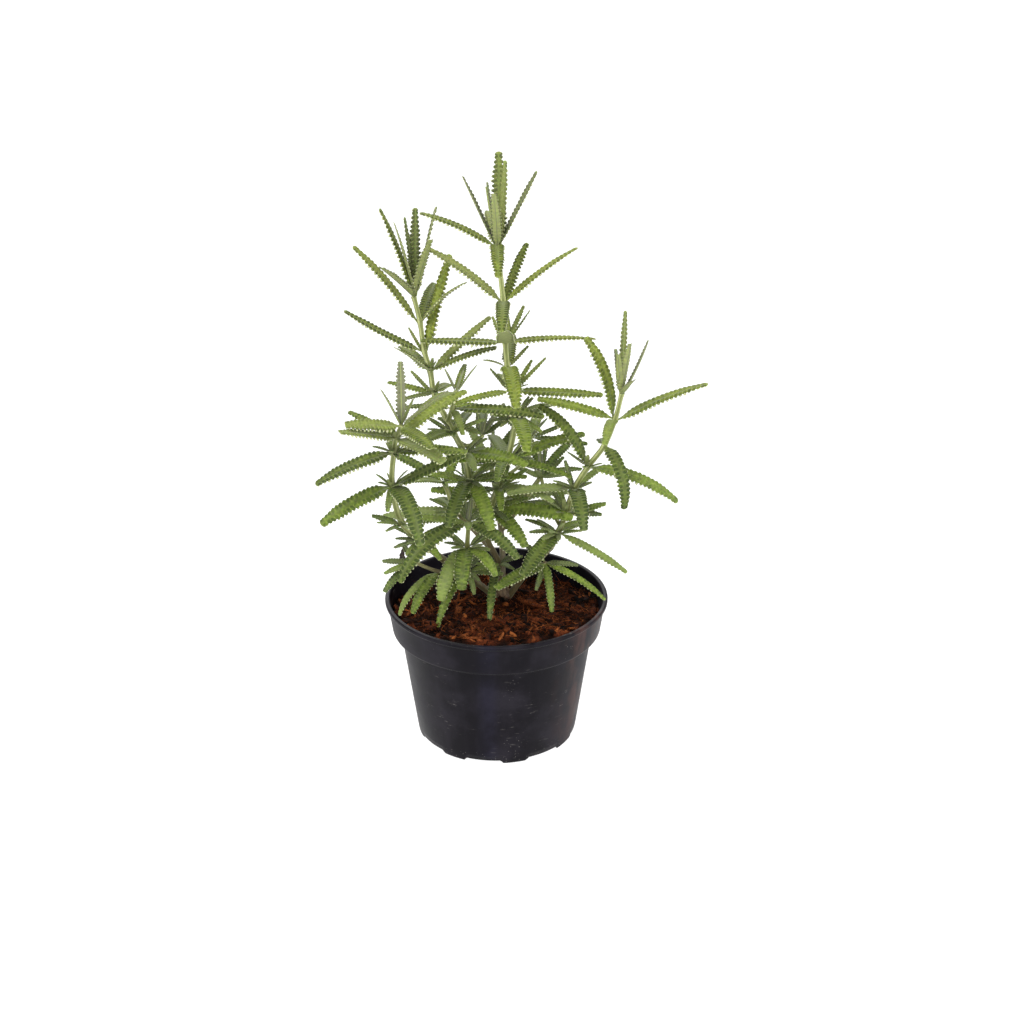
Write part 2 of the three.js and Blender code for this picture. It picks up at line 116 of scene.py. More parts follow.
def leaf(turn: float, rise: float, length: float, droop: float, width: float = 0.0) -> Leaf:
    """Describes one leaf.

    Args:
        turn: direction about +Z, 0 towards +X and 90 away from the front.
        rise: angle above level at the leaf's foot.
        length: length along the leaf.
        droop: how far it bends down over its length.
        width: width with the teeth, or 0 for the usual width at that length.

    Returns:
        The leaf.
    """
    usual = min(WIDTH_LIMIT, WIDTH_LEAST + WIDTH_PER_LENGTH * length)
    return Leaf(turn, rise, length, droop, width or usual)


def withered(turn: float, rise: float, length: float, droop: float) -> Leaf:
    """Describes a dead leaf that still hangs on, shrunken and curled up."""
    shrunken = leaf(turn, rise, length, droop + WITHERED_DROOP, WITHERED_WIDTH)
    return replace(shrunken, age=LeafAge.WITHERED)


def tuft(turn: float, rise: float, length: float) -> tuple[Leaf, ...]:
    """Describes the small leaves from the axil of a bigger one, fanned about the middle one.

    Args:
        turn: the middle leaf's direction.
        rise: the first leaf's angle above level.
        length: the first leaf's length; the others are shorter.

    Returns:
        The leaves.
    """
    return tuple(
        leaf(turn + fan, rise + lift, share * length, TUFT_DROOP)
        for fan, lift, share in TUFT_PLAN
    )


def joint(x: float, y: float, z: float, *leaves: Leaf) -> Joint:
    """Describes a joint at a place, with its leaves."""
    return Joint((x, y, z), leaves)


STEMS: tuple[Stem, ...] = (
    Stem(
        "leader", 1.8, None, False,
        (
            joint(1, 10, 94, leaf(262, 10, 42, 66, 5), *tuft(205, 22, 15), *tuft(330, 26, 14)),
            joint(-5, 6, 111),
            joint(-3, 5, 129, leaf(345, 12, 44, 26, 8), leaf(306, 2, 33, 44, 7.5),
                leaf(120, 8, 38, 30), *tuft(262, 14, 20), *tuft(35, 26, 20)),
            joint(1, 4, 141, leaf(335, 24, 32, 56), leaf(222, 14, 30, 30), leaf(84, 12, 40, 34),
                leaf(275, 22, 26, 50, 5), *tuft(300, 40, 14), *tuft(15, 14, 22)),
            joint(6, 2, 158, leaf(11, 26, 42, 20), leaf(200, 16, 34, 20), leaf(262, 30, 36, 52),
                leaf(104, 10, 40, 26), *tuft(228, 2, 16), *tuft(340, 40, 20),
                leaf(345, 2, 34, 24, 5)),
            joint(10, 0, 182, leaf(279, 28, 44, 60, 8), leaf(311, 10, 20, 30),
                leaf(156, 14, 34, 22), leaf(52, 6, 34, 24), *tuft(240, 8, 12), *tuft(10, 44, 16)),
            joint(8, 0, 197, leaf(352, 2, 46, 4), leaf(207, 4, 31, 16), leaf(168, 48, 15, 0),
                leaf(23, 54, 18, 0), leaf(0, 47, 24, 0), leaf(99, 10, 42, 40), *tuft(300, 40, 10)),
            joint(6, 0, 210, leaf(276, 20, 42, 62, 8), leaf(199, 35, 13, 24), leaf(18, 45, 14, 0),
                leaf(86, 22, 40, 34)),
            joint(5, 0, 223, leaf(270, 30, 38, 4, 8), leaf(4, 8, 45, 14), leaf(169, 0, 43, 4),
                leaf(144, 59, 14, 0), leaf(36, 59, 20, 0), leaf(350, 57, 21, 0),
                leaf(92, 20, 42, 30)),
            joint(4, 1, 244, leaf(162, 42, 46, 20), leaf(9, 44, 45, 16), leaf(66, 53, 34, 14),
                leaf(270, 26, 41, 60)),
            joint(1, 4, 272, leaf(105, 84, 46, 2), leaf(40, 83, 42, -2, 5), leaf(172, 64, 38, -2),
                leaf(5, 64, 41, 2), leaf(268, 64, 32, -6, 6), leaf(172, 34, 41, 24),
                leaf(270, 22, 41, 58), leaf(145, 80, 32, -4, 4), leaf(200, 78, 31, -4, 4),
                leaf(95, 30, 42, 40)),
        ),
    ),
    Stem(
        "left_stem", 1.7, ("leader", 1), False,
        (
            joint(-11, 3, 129),
            joint(-14, 2, 146, leaf(195, 22, 23, 10), leaf(255, 12, 38, 62, 7.5),
                leaf(290, 8, 38, 62, 7.5), leaf(338, 22, 32, 20), leaf(95, 15, 40, 30),
                *tuft(225, 28, 16), *tuft(312, 34, 18), *tuft(15, 22, 22)),
            joint(-17, 2, 162, leaf(330, 16, 38, 30, 8), leaf(165, 10, 30, 20), *tuft(240, 32, 14),
                *tuft(355, 30, 16), leaf(286, 20, 24, 44, 5)),
            joint(-22, 2, 173, leaf(248, 26, 36, 24, 7.5), leaf(331, 38, 21, 16),
                leaf(126, 44, 18, 8), leaf(75, 12, 34, 26), *tuft(200, 34, 16),
                *tuft(290, 34, 14)),
            joint(-32, 10, 192, leaf(162, 12, 25, 8, 5), leaf(214, 8, 20, 14), leaf(169, 46, 16, 0),
                leaf(74, 2, 34, 30), *tuft(300, 40, 12)),
            joint(-34, 13, 203, leaf(234, 44, 33, 14), leaf(347, 34, 38, 20), leaf(18, 44, 41, 10),
                leaf(120, 20, 36, 30), *tuft(290, 50, 11)),
            joint(-37, 16, 213, leaf(177, 24, 45, -8), leaf(36, 78, 51, 10), leaf(163, 59, 14, 0),
                leaf(337, 60, 12, 0)),
            joint(-39, 18, 228, leaf(176, 59, 51, 16), leaf(330, 58, 37, 30),
                leaf(80, 30, 38, 30)),
            joint(-42, 20, 241, leaf(180, 78, 49, 14), leaf(214, 78, 42, 6, 6),
                leaf(95, 86, 45, 2, 6), leaf(9, 79, 47, 6), leaf(305, 68, 37, 8, 6.5),
                leaf(231, 44, 31, 6, 7.5), leaf(95, 45, 40, 20), leaf(150, 83, 41, 0, 4)),
        ),
    ),
    Stem(
        "inner_stem", 1.5, ("left_stem", 3), False,
        (
            joint(-22, -2, 188, leaf(345, 10, 48, 18), leaf(284, 10, 24, 46),
                leaf(192, 16, 26, 20)),
            joint(-20, -4, 198, leaf(347, 58, 18, 4, 4), leaf(32, 67, 11, 0, 3),
                leaf(239, 14, 38, 32, 7.5), leaf(156, 62, 12, 0, 3), leaf(80, 20, 24, 10)),
        ),
    ),
    Stem(
        "front_left_stem", 1.7, None, False,
        (
            joint(-11, 1, 87),
            joint(-27, -12, 106),
            joint(-40, -22, 123, withered(142, -10, 20, 40), leaf(300, 16, 24, 40),
                leaf(20, 24, 20, 12), *tuft(205, 30, 14), *tuft(262, 12, 16)),
            joint(-48, -26, 134, leaf(195, 28, 16, 8, 4.5), leaf(26, 0, 30, 16),
                *tuft(250, 24, 14)),
            joint(-52, -33, 158, leaf(200, -11, 40, 24, 8), leaf(293, 20, 46, 84, 8),
                leaf(264, -10, 16, 36, 4), leaf(0, 30, 40, 10), *tuft(235, 52, 10),
                *tuft(330, 34, 16)),
            joint(-50, -42, 180, leaf(197, -6, 41, 26, 8), leaf(343, 16, 38, 16),
                leaf(104, 20, 20, 30), *tuft(250, 34, 12), *tuft(305, 34, 14)),
            joint(-48, -50, 191, leaf(214, 24, 32, 12, 7.5), leaf(311, 12, 36, 28, 7.5),
                leaf(148, 18, 29, 8), leaf(33, 30, 42, 14), *tuft(262, 40, 11)),
            joint(-45, -55, 199, leaf(91, 54, 32, 6, 6), leaf(198, 14, 27, 12, 7.5),
                leaf(206, 66, 22, 4, 5), leaf(314, 60, 18, 0, 4), leaf(330, 44, 34, 6, 6.5),
                leaf(303, 12, 30, 26, 7.5)),
        ),
    ),
    Stem(
        "right_stem", 1.7, None, False,
        (
            joint(17, 9, 90),
            joint(29, 5, 106),
            joint(33, 2, 116, leaf(352, -22, 42, 16, 5), leaf(240, 2, 38, 36, 8),
                leaf(60, 0, 34, 30), *tuft(200, 22, 18), *tuft(290, 32, 16)),
            joint(37, 1, 128, leaf(344, 26, 22, 8, 5), leaf(353, 8, 18, 14, 5),
                leaf(82, -5, 24, 40), *tuft(140, 32, 18), *tuft(262, 46, 14)),
            joint(41, -2, 143, leaf(277, 30, 36, 96, 7.5), leaf(141, 70, 15, 0, 3.5),
                leaf(196, 12, 36, 20), leaf(40, 30, 22, 20), *tuft(235, 34, 12),
                *tuft(330, 34, 10)),
            joint(48, -5, 157, leaf(350, 2, 50, 42), leaf(166, 76, 42, 52), leaf(200, 40, 14, 0),
                *tuft(275, 42, 12)),
            joint(56, -8, 170, leaf(296, 2, 40, 110), leaf(95, -6, 26, 20)),
            joint(61, -10, 185, leaf(165, 90, 46, 38), leaf(354, 35, 50, 20), leaf(175, 20, 40, 12),
                leaf(258, 28, 32, 62)),
            joint(64, -12, 200, leaf(60, 84, 42, -2, 4.5), leaf(302, 74, 30, -2, 6.5),
                leaf(351, 62, 31, -12, 5), leaf(290, 44, 20, 10, 5.5), leaf(255, 72, 25, 4, 5),
                leaf(119, 74, 22, 0, 4.5)),
        ),
    ),
    Stem(
        "front_stem", 1.6, ("front_left_stem", 0), False,
        (
            joint(-15, -10, 99, leaf(237, -6, 36, 66, 5), leaf(290, -24, 13, 34, 3.5),
                leaf(350, 6, 18, 14, 5), *tuft(265, 10, 12), *tuft(30, 24, 16)),
            joint(-15, -16, 116, leaf(236, -4, 34, 80, 8), leaf(262, 10, 28, 88, 8),
                leaf(309, 20, 26, 80, 6.5), *tuft(195, 32, 14), *tuft(340, 34, 18)),
            joint(-14, -20, 132, leaf(214, 4, 50, 66, 8), leaf(195, 20, 30, 16),
                leaf(322, 4, 34, 50, 7), leaf(110, 40, 8, 0, 3), *tuft(25, 6, 14),
                *tuft(80, 32, 16), leaf(270, 32, 24, 30, 4.5)),
        ),
    ),
    Stem(
        "back_stem", 1.6, None, False,
        (
            joint(3, 27, 98),
            joint(0, 42, 116, leaf(10, 16, 40, 24), leaf(164, 16, 38, 24), leaf(92, -4, 36, 30),
                *tuft(230, 30, 16)),
            joint(-3, 50, 134, leaf(60, 40, 30, 20), leaf(120, 40, 30, 20), leaf(200, 50, 24, 10),
                leaf(330, 50, 24, 10), leaf(95, 70, 20, 0, 4), *tuft(240, 40, 14)),
        ),
    ),
    Stem(
        "back_left_stem", 1.6, ("leader", 0), False,
        (
            joint(-9, 22, 104),
            joint(-22, 34, 114, leaf(182, 6, 40, 20), leaf(110, 4, 38, 30), leaf(262, 26, 24, 20),
                *tuft(215, 34, 16), *tuft(330, 30, 16)),
            joint(-29, 42, 128, leaf(150, 30, 36, 24), leaf(228, 30, 30, 24), leaf(70, 34, 30, 20),
                leaf(180, 62, 20, 0, 4), *tuft(300, 30, 14)),
        ),
    ),
    Stem(
        "back_right_stem", 1.6, ("back_stem", 0), False,
        (
            joint(14, 36, 118, leaf(350, 10, 40, 26), leaf(72, 4, 38, 30), leaf(130, 26, 28, 20),
                *tuft(280, 34, 16)),
            joint(26, 42, 134, leaf(55, 30, 30, 24), leaf(330, 26, 24, 18), leaf(110, 34, 30, 20),
                leaf(200, 50, 20, 8), leaf(60, 70, 18, 0, 4), *tuft(240, 30, 12)),
        ),
    ),
    Stem(
        "low_left_sprig", 1.1, ("front_left_stem", 0), True,
        (
            joint(-30, -21, 104, leaf(202, -12, 32, 64, 4.5), leaf(222, -20, 26, 50, 6)),
            joint(-43, -30, 114, leaf(200, 16, 16, 8, 4.5), leaf(222, 6, 18, 14, 4.5),
                leaf(226, -10, 22, 34, 5), leaf(124, 35, 12, 8, 3.5)),
        ),
    ),
    Stem(
        "low_right_sprig", 1.1, ("right_stem", 0), True,
        (
            joint(23, 0, 95),
            joint(26, -6, 102, leaf(350, 5, 17, 10, 4), leaf(332, -6, 38, 30, 4.5),
                leaf(280, -20, 28, 50, 4.5), leaf(225, 4, 36, 16, 7), leaf(250, -30, 16, 20, 3.5),
                leaf(140, 30, 16, 10, 4)),
        ),
    ),
    Stem(
        "back_sprig", 1.1, ("leader", 3), True,
        (
            joint(14, 22, 148),
            joint(19, 38, 156, leaf(10, 50, 13, 0, 3.5), leaf(355, 26, 20, 0, 3.5),
                leaf(150, 50, 16, 0), leaf(0, -4, 30, 6, 5), leaf(80, 20, 36, 30),
                leaf(125, 20, 34, 30)),
        ),
    ),
    Stem(
        "inner_sprig", 1.1, ("left_stem", 2), True,
        (
            joint(-11, 11, 163),
            joint(-7, 18, 165, leaf(30, 50, 20, 4, 5), leaf(60, 66, 14, 0, 3),
                leaf(10, 36, 18, 4, 4), leaf(120, 60, 14, 0, 3.5), leaf(92, 15, 36, 30),
                leaf(160, 24, 26, 20)),
        ),
    ),
    Stem(
        "right_sprig", 1.1, ("right_stem", 2), True,
        (
            joint(28, 12, 128),
            joint(24, 22, 139, leaf(20, 40, 16, 0), leaf(100, 60, 16, 0), leaf(180, 30, 18, 0),
                leaf(260, 40, 18, 10), leaf(320, 20, 20, 0), leaf(40, 14, 15, 30),
                leaf(140, 20, 17, 30)),
        ),
    ),
)

# ------------------------------------------------------------------ arrays and meshes


def smooth(value: Array) -> Array:
    """Rises from 0 to 1 as value does, level at both ends."""
    held = np.clip(value, 0.0, 1.0)
    return held * held * (3.0 - 2.0 * held)


def lattice_noise(points: Array, size: float, seed: int) -> Array:
    """Smooth noise from -1 to 1: random numbers on a cubic lattice, blended between its points.

    Args:
        points: places, with x, y and z last.
        size: distance between the lattice's points.
        seed: which lattice.

    Returns:
        One number for each place.
    """
    table = np.random.default_rng(seed).uniform(-1.0, 1.0, (32, 32, 32))
    cell = np.floor(points / size).astype(int)
    share = smooth(points / size - cell)
    total = np.zeros(points.shape[:-1])
    for corner in np.ndindex(2, 2, 2):
        step = np.array(corner)
        weight = np.prod(np.where(step == 1, share, 1.0 - share), axis=-1)
        place = (cell + step) % 32
        total += weight * table[place[..., 0], place[..., 1], place[..., 2]]
    return total


def layered_noise(points: Array, size: float, layers: int, seed: int) -> Array:
    """Noise in layers, each half the size and half the height of the one before."""
    parts = [lattice_noise(points, size / 2**k, seed + k) / 2**k for k in range(layers)]
    return np.sum(parts, axis=0)


@dataclass
class Shell:
    """Points, faces and per-point values of a surface, ready to become a mesh."""

    points: Array
    quads: NDArray[np.int64]
    triangles: NDArray[np.int64]
    values: dict[str, Array] = field(default_factory=dict)

    @staticmethod
    def join(shells: "list[Shell]") -> "Shell":
        """Puts shells side by side in one.

        Args:
            shells: the shells, all with the same named values.

        Returns:
            One shell that holds them all.
        """
        starts = np.cumsum([0] + [len(one.points) for one in shells])
        return Shell(
            np.concatenate([one.points for one in shells]),
            np.concatenate([one.quads + start for one, start in zip(shells, starts)]),
            np.concatenate([one.triangles + start for one, start in zip(shells, starts)]),
            {
                key: np.concatenate([one.values[key] for one in shells])
                for key in shells[0].values
            },
        )

    def to_object(self, name: str, material: bpy.types.Material) -> bpy.types.Object:
        """Makes a smooth-shaded object of the shell.

        Args:
            name: the piece's name.
            material: what it is made of.

        Returns:
            The object, at the origin, with its place in its mesh.
        """
        mesh = bpy.data.meshes.new(name)
        mesh.vertices.add(len(self.points))
        mesh.vertices.foreach_set("co", (self.points * MM).astype(np.float32).ravel())
        corners = np.concatenate([self.quads.ravel(), self.triangles.ravel()])
        mesh.loops.add(len(corners))
        mesh.loops.foreach_set("vertex_index", corners.astype(np.int32))
        quad_starts = np.arange(len(self.quads)) * 4
        triangle_starts = len(self.quads) * 4 + np.arange(len(self.triangles)) * 3
        starts = np.concatenate([quad_starts, triangle_starts]).astype(np.int32)
        mesh.polygons.add(len(starts))
        mesh.polygons.foreach_set("loop_start", starts)
        mesh.polygons.foreach_set("use_smooth", np.ones(len(starts), dtype=bool))
        for key, numbers in self.values.items():
            attribute = mesh.attributes.new(key, "FLOAT", "POINT")
            attribute.data.foreach_set("value", numbers.astype(np.float32))
        mesh.update(calc_edges=True)
        mesh.validate()
        mesh.materials.append(material)
        piece = bpy.data.objects.new(name, mesh)
        bpy.context.scene.collection.objects.link(piece)
        return piece


def tube_shell(rings: Array, values: dict[str, Array]) -> Shell:
    """Skins rings of points, from the first to the last, and closes both ends with a fan.

    Each ring runs anticlockwise as seen from the end it heads for, so the skin faces outwards.

    Args:
        rings: points, by ring, by place round it, by axis.
        values: named numbers for each point of the rings.

    Returns:
        A closed shell.
    """
    count, around = rings.shape[:2]
    index = np.arange(count * around).reshape(count, around)
    after = np.roll(index, -1, axis=1)
    quads = np.stack([index[:-1], after[:-1], after[1:], index[1:]], axis=-1).reshape(-1, 4)
    first = np.full(around, count * around)
    fans = np.concatenate(
        [
            np.stack([first, after[0], index[0]], axis=-1),
            np.stack([first + 1, index[-1], after[-1]], axis=-1),
        ]
    )
    centres = rings[[0, -1]].mean(axis=1)
    points = np.concatenate([rings.reshape(-1, 3), centres])
    spread = {
        key: np.concatenate([grid.ravel(), grid[[0, -1]].mean(axis=1)])
        for key, grid in values.items()
    }
    return Shell(points, quads, fans, spread)


# ------------------------------------------------------------------ leaves


@dataclass(frozen=True)
class LeafBlade:
    """The pattern that every leaf is cut from, whatever its size.

    A leaf is a closed skin: rows follow one another along it, and each goes over the upper side
    from one margin to the other and back underneath. The margin is cut into round teeth that lean
    forwards and curl down, and the upper side is quilted between the veins.
    """

    full_widths: tuple[float, float] = (5.8, 7.4)
    fullness: tuple[float, float] = (1.12, 1.27)
    tooth_shares: tuple[float, float] = (0.27, 0.4)
    core_column: float = 0.5
    lobe_share: float = 0.72
    tooth_lean: float = 0.16
    stalk_share: float = 0.06
    body_share: float = 0.965
    sunward: tuple[float, float] = (28.0, 8.0)
    sun_heights: tuple[float, float] = (165.0, 215.0)
    withered_turn: float = 75.0
    crumple: float = 2.2
    crumple_size: float = 5.0
    young_length: float = 48.0
    grown_length: float = 24.0
    youth_span: float = 14.0
    short_length: float = 24.0
    stalk_rows: int = 4
    tip_rows: int = 6
    tooth_rows: tuple[float, ...] = (0.07, 0.15, 0.25, 0.42, 0.6, 0.77, 0.85)
    short_rows: tuple[float, ...] = (0.08, 0.19, 0.5, 0.81)
    half_upper: tuple[float, ...] = (1, 0.9, 0.72, 0.5, 0.3, 0.1)
    half_under: tuple[float, ...] = (0.88, 0.6, 0.2)

    def columns(self) -> tuple[Array, Array]:
        """Places the columns of a leaf.

        Returns:
            Each column's place, from 1 at the left margin to -1 at the right one, and 1 for the
            columns of the underside or 0 for those of the upper side.
        """
        upper = [*self.half_upper, 0.0, *(-one for one in reversed(self.half_upper))]
        under = [*(-one for one in self.half_under), *reversed(self.half_under)]
        return np.array(upper + under), np.array([0.0] * len(upper) + [1.0] * len(under))

    def rows(self, teeth: int, pattern: tuple[float, ...]) -> tuple[Array, Array]:
        """Places the rows of a leaf.

        Args:
            teeth: how many teeth each margin has.
            pattern: the rows' places in one tooth.

        Returns:
            Each row's share of the length, and its place in its tooth, from 0 at one notch to 1
            at the next; rows on the stalk are in a notch and rows at the tip in mid-tooth.
        """
        stalk = np.linspace(0.0, self.stalk_share, self.stalk_rows + 1)[:-1]
        phase = (np.arange(teeth)[:, None] + np.array(pattern)).ravel()
        body = self.stalk_share + (self.body_share - self.stalk_share) * phase / teeth
        rounding = np.sin(np.linspace(0, math.pi / 2, self.tip_rows))
        tip = self.body_share + (1 - self.body_share) * rounding
        along = np.concatenate([stalk, body, tip])
        return along, np.concatenate([stalk * 0, phase % 1.0, np.full(self.tip_rows, 0.5)])

    def outline(self, along: Array) -> Array:
        """Shapes the margin, without its teeth.

        It widens from the stalk, narrows towards the tip, faster at the end, and closes with a
        round lobe.

        Args:
            along: shares of the leaf's length.

        Returns:
            The share of the half width at each.
        """
        widen = 0.4 + 0.6 * smooth(along / 0.18)
        taper = 1.0 - 0.18 * along - 0.34 * smooth((along - 0.68) / 0.32)
        lobe = np.clip((along - self.body_share) / (1.0 - self.body_share), 0.0, 0.999)
        return widen * taper * np.sqrt(1.0 - lobe**2)

    def youth(self, one: Leaf) -> float:
        """Tells how young a leaf looks.

        Args:
            one: the leaf.

        Returns:
            0 for a full leaf, up to 1 for a short one at a tip and up to 0.5 for one elsewhere.
        """
        at_tip = one.age is LeafAge.YOUNG
        full = self.young_length if at_tip else self.grown_length
        share = float(np.clip((full - one.length) / self.youth_span, 0.0, 1.0))
        return share if at_tip else 0.5 * share

    def midrib(
        self, one: Leaf, foot: Array, youth: float, along: Array, rng: np.random.Generator
    ) -> tuple[Array, Array, Array, Array]:
        """Lays the midrib and turns the blade about it.

        The midrib follows an arc of a circle in the upright plane of the leaf's turn, and sways
        a little out of it. The blade twists about it by a random amount, and a leaf that grows
        sideways also turns its upper face to the front, less so high on the plant.

        Args:
            one: the leaf.
            foot: where it starts, in millimetres.
            youth: how young it looks.
            along: shares of its length.
            rng: source of its small irregularities.

        Returns:
            The midrib's points, and the directions ahead, to the left and over the blade there.
        """
        facing = float(np.interp(foot[2], self.sun_heights, self.sunward))
        facing *= math.cos(math.radians(one.turn)) * (1.0 - 0.5 * youth)
        if one.age is LeafAge.WITHERED:
            facing = self.withered_turn
        own_twist = rng.normal(0.0, 5.0 + 0.16 * one.length)
        twist = np.radians(own_twist) * along
        twist += math.radians(facing) * smooth(along / 0.3)
        sway = rng.normal(0.0, 0.018) * one.length * along**2
        angle = np.radians(one.rise - one.droop * along)
        halfway = np.radians(one.rise - one.droop * along / 2)
        bend = np.radians(one.droop * along / 2)
        chord = one.length * along * np.sinc(bend / np.pi)
        turn = math.radians(one.turn)
        level = np.array([math.cos(turn), math.sin(turn), 0])
        side = np.cross(UP, level)
        line = foot + np.outer(chord * np.cos(halfway), level)
        line += np.outer(chord * np.sin(halfway), UP)
        line += np.outer(sway, side)
        ahead = np.outer(np.cos(angle), level) + np.outer(np.sin(angle), UP)
        above = np.outer(-np.sin(angle), level) + np.outer(np.cos(angle), UP)
        left = np.cos(twist)[:, None] * side + np.sin(twist)[:, None] * above
        normal = np.cos(twist)[:, None] * above - np.sin(twist)[:, None] * side
        return line, ahead, left, normal

    def build(self, one: Leaf, foot: Array, rng: np.random.Generator) -> Shell:
        """Shapes one leaf.

        Its half width is the outline, cut back between teeth. Its height over the midrib is the
        sum of a fold along the midrib, the quilting, a groove over the midrib and the curl of
        the teeth.

        Args:
            one: the leaf.
            foot: where it starts, in millimetres.
            rng: source of its small irregularities.

        Returns:
            The leaf's closed skin.
        """
        youth = self.youth(one)
        teeth = int(round(5.5 + 0.27 * one.length))
        pattern = self.tooth_rows if one.length > self.short_length else self.short_rows
        along, phase = self.rows(teeth, pattern)
        columns, is_under = self.columns()
        reach = np.abs(columns)[None, :]
        sign = np.sign(columns)[None, :]
        s = along[:, None]

        widening = float(np.interp(one.width, self.full_widths, self.fullness))
        half = one.width / 2 * widening * self.outline(along)[:, None]
        lobe = np.clip(np.abs(2.0 * phase - 1.0) / self.lobe_share, 0.0, 1.0)
        tooth = 0.03 + 0.97 * (1.0 - lobe**2.8) ** 0.5
        wobble = 1.0 + 0.12 * rng.standard_normal(teeth)
        tooth *= np.concatenate(
            [np.ones(self.stalk_rows), np.repeat(wobble, len(pattern)), np.ones(self.tip_rows)]
        )
        tooth = tooth[:, None]
        outer = np.clip((reach - self.core_column) / (1.0 - self.core_column), 0.0, 1.0)
        inner = np.minimum(reach / self.core_column, 1.0)
        tooth_share = float(np.interp(foot[2], self.sun_heights, self.tooth_shares))
        cut = half * tooth_share * tooth * outer
        offset = half * (1.0 - tooth_share) * inner + cut

        cushion = smooth((reach - 0.04) / 0.22) * smooth((1.06 - reach) / 0.3)
        vein = np.abs(np.sin(np.pi * ((phase[:, None] - 0.3 * (1 - reach)) % 1.0))) ** 0.7
        body = smooth((s - 0.05) / 0.08) * smooth((1.0 - s) / 0.04)
        quilt = cushion * vein * body
        bead = np.sin(np.pi * np.clip((reach - 0.4) / 0.6, 0.0, 1.0)) * tooth * body
        fold = math.radians(4.0 + 26.0 * youth + 5.0 * rng.standard_normal())
        curl = (0.3 + 0.25 * rng.random()) * half * tooth_share
        small = half / 3.7
        top = (0.3 - 0.1 * youth) * quilt + 0.24 * bead - 0.2 * np.exp(-((reach / 0.09) ** 2))
        under = 0.3 + 0.16 * bead + 0.3 * np.exp(-((reach / 0.15) ** 2))
        lift = np.where(is_under[None, :] > 0.5, -under, top + 0.1) * small * (1.0 - reach**8)
        lift = lift - curl * (outer * tooth) ** 1.3 - 0.14 * half * (1.0 - youth) * reach**2
        lift = lift + offset * math.sin(fold)
        across = sign * offset * math.cos(fold)
        forward = self.tooth_lean * cut

        line, ahead, left, normal = self.midrib(one, foot, youth, along, rng)
        points = (
            line[:, None, :]
            + forward[..., None] * ahead[:, None, :]
            + across[..., None] * left[:, None, :]
            + lift[..., None] * normal[:, None, :]
        )
        if one.age is LeafAge.WITHERED:
            points += self.crumple * np.stack(
                [lattice_noise(points, self.crumple_size, seed) for seed in (3, 4, 5)], axis=-1
            )
        grid = np.ones_like(reach * s)
        tone = rng.uniform(-1.0, 1.0)
        return tube_shell(
            points,
            {
                "under": grid * is_under[None, :],
                "across": grid * reach,
                "quilt": grid * quilt,
                "tooth": grid * (outer * tooth),
                "tone": grid * tone,
                "youth": grid * youth,
                "withered": grid * float(one.age is LeafAge.WITHERED),
            },
        )


# ------------------------------------------------------------------ stems


@dataclass(frozen=True)
class StemPath:
    """A smooth curve through a stem's foot and joints: centripetal Catmull-Rom pieces."""

    knots: Array

    def at(self, share: Array) -> Array:
        """Finds points on the curve.

        Between two knots the curve is a cubic that starts and ends with slopes taken from the
        knots before and after, weighted by the square roots of the distances between them.

        Args:
            share: places from 0 at the foot to 1 at the tip.

        Returns:
            The points there.
        """
        ends = np.stack([2 * self.knots[0] - self.knots[1], 2 * self.knots[-1] - self.knots[-2]])
        full = np.concatenate([ends[:1], self.knots, ends[1:]])
        spans = len(self.knots) - 1
        place = np.clip(np.asarray(share, float) * spans, 0, spans - 1e-9)
        first = place.astype(int)
        t = (place - first)[:, None]
        p0, p1, p2, p3 = (full[first + k] for k in range(4))
        d0, d1, d2 = (
            np.sqrt(np.linalg.norm(b - a, axis=1))[:, None]
            for a, b in ((p0, p1), (p1, p2), (p2, p3))
        )
        m1 = ((p1 - p0) / d0 - (p2 - p0) / (d0 + d1) + (p2 - p1) / d1) * d1
        m2 = ((p2 - p1) / d1 - (p3 - p1) / (d1 + d2) + (p3 - p2) / d2) * d1
        return (
            p1
            + m1 * t
            + (3 * (p2 - p1) - 2 * m1 - m2) * t**2
            + (2 * (p1 - p2) + m1 + m2) * t**3
        )

    def heading(self, share: float) -> Array:
        """Finds the direction of the curve.

        Args:
            share: a place from 0 at the foot to 1 at the tip.

        Returns:
            The direction there, of length 1.
        """
        near = self.at(np.array([max(share - 0.004, 0.0), min(share + 0.004, 1.0)]))
        step = near[1] - near[0]
        return step / np.linalg.norm(step)


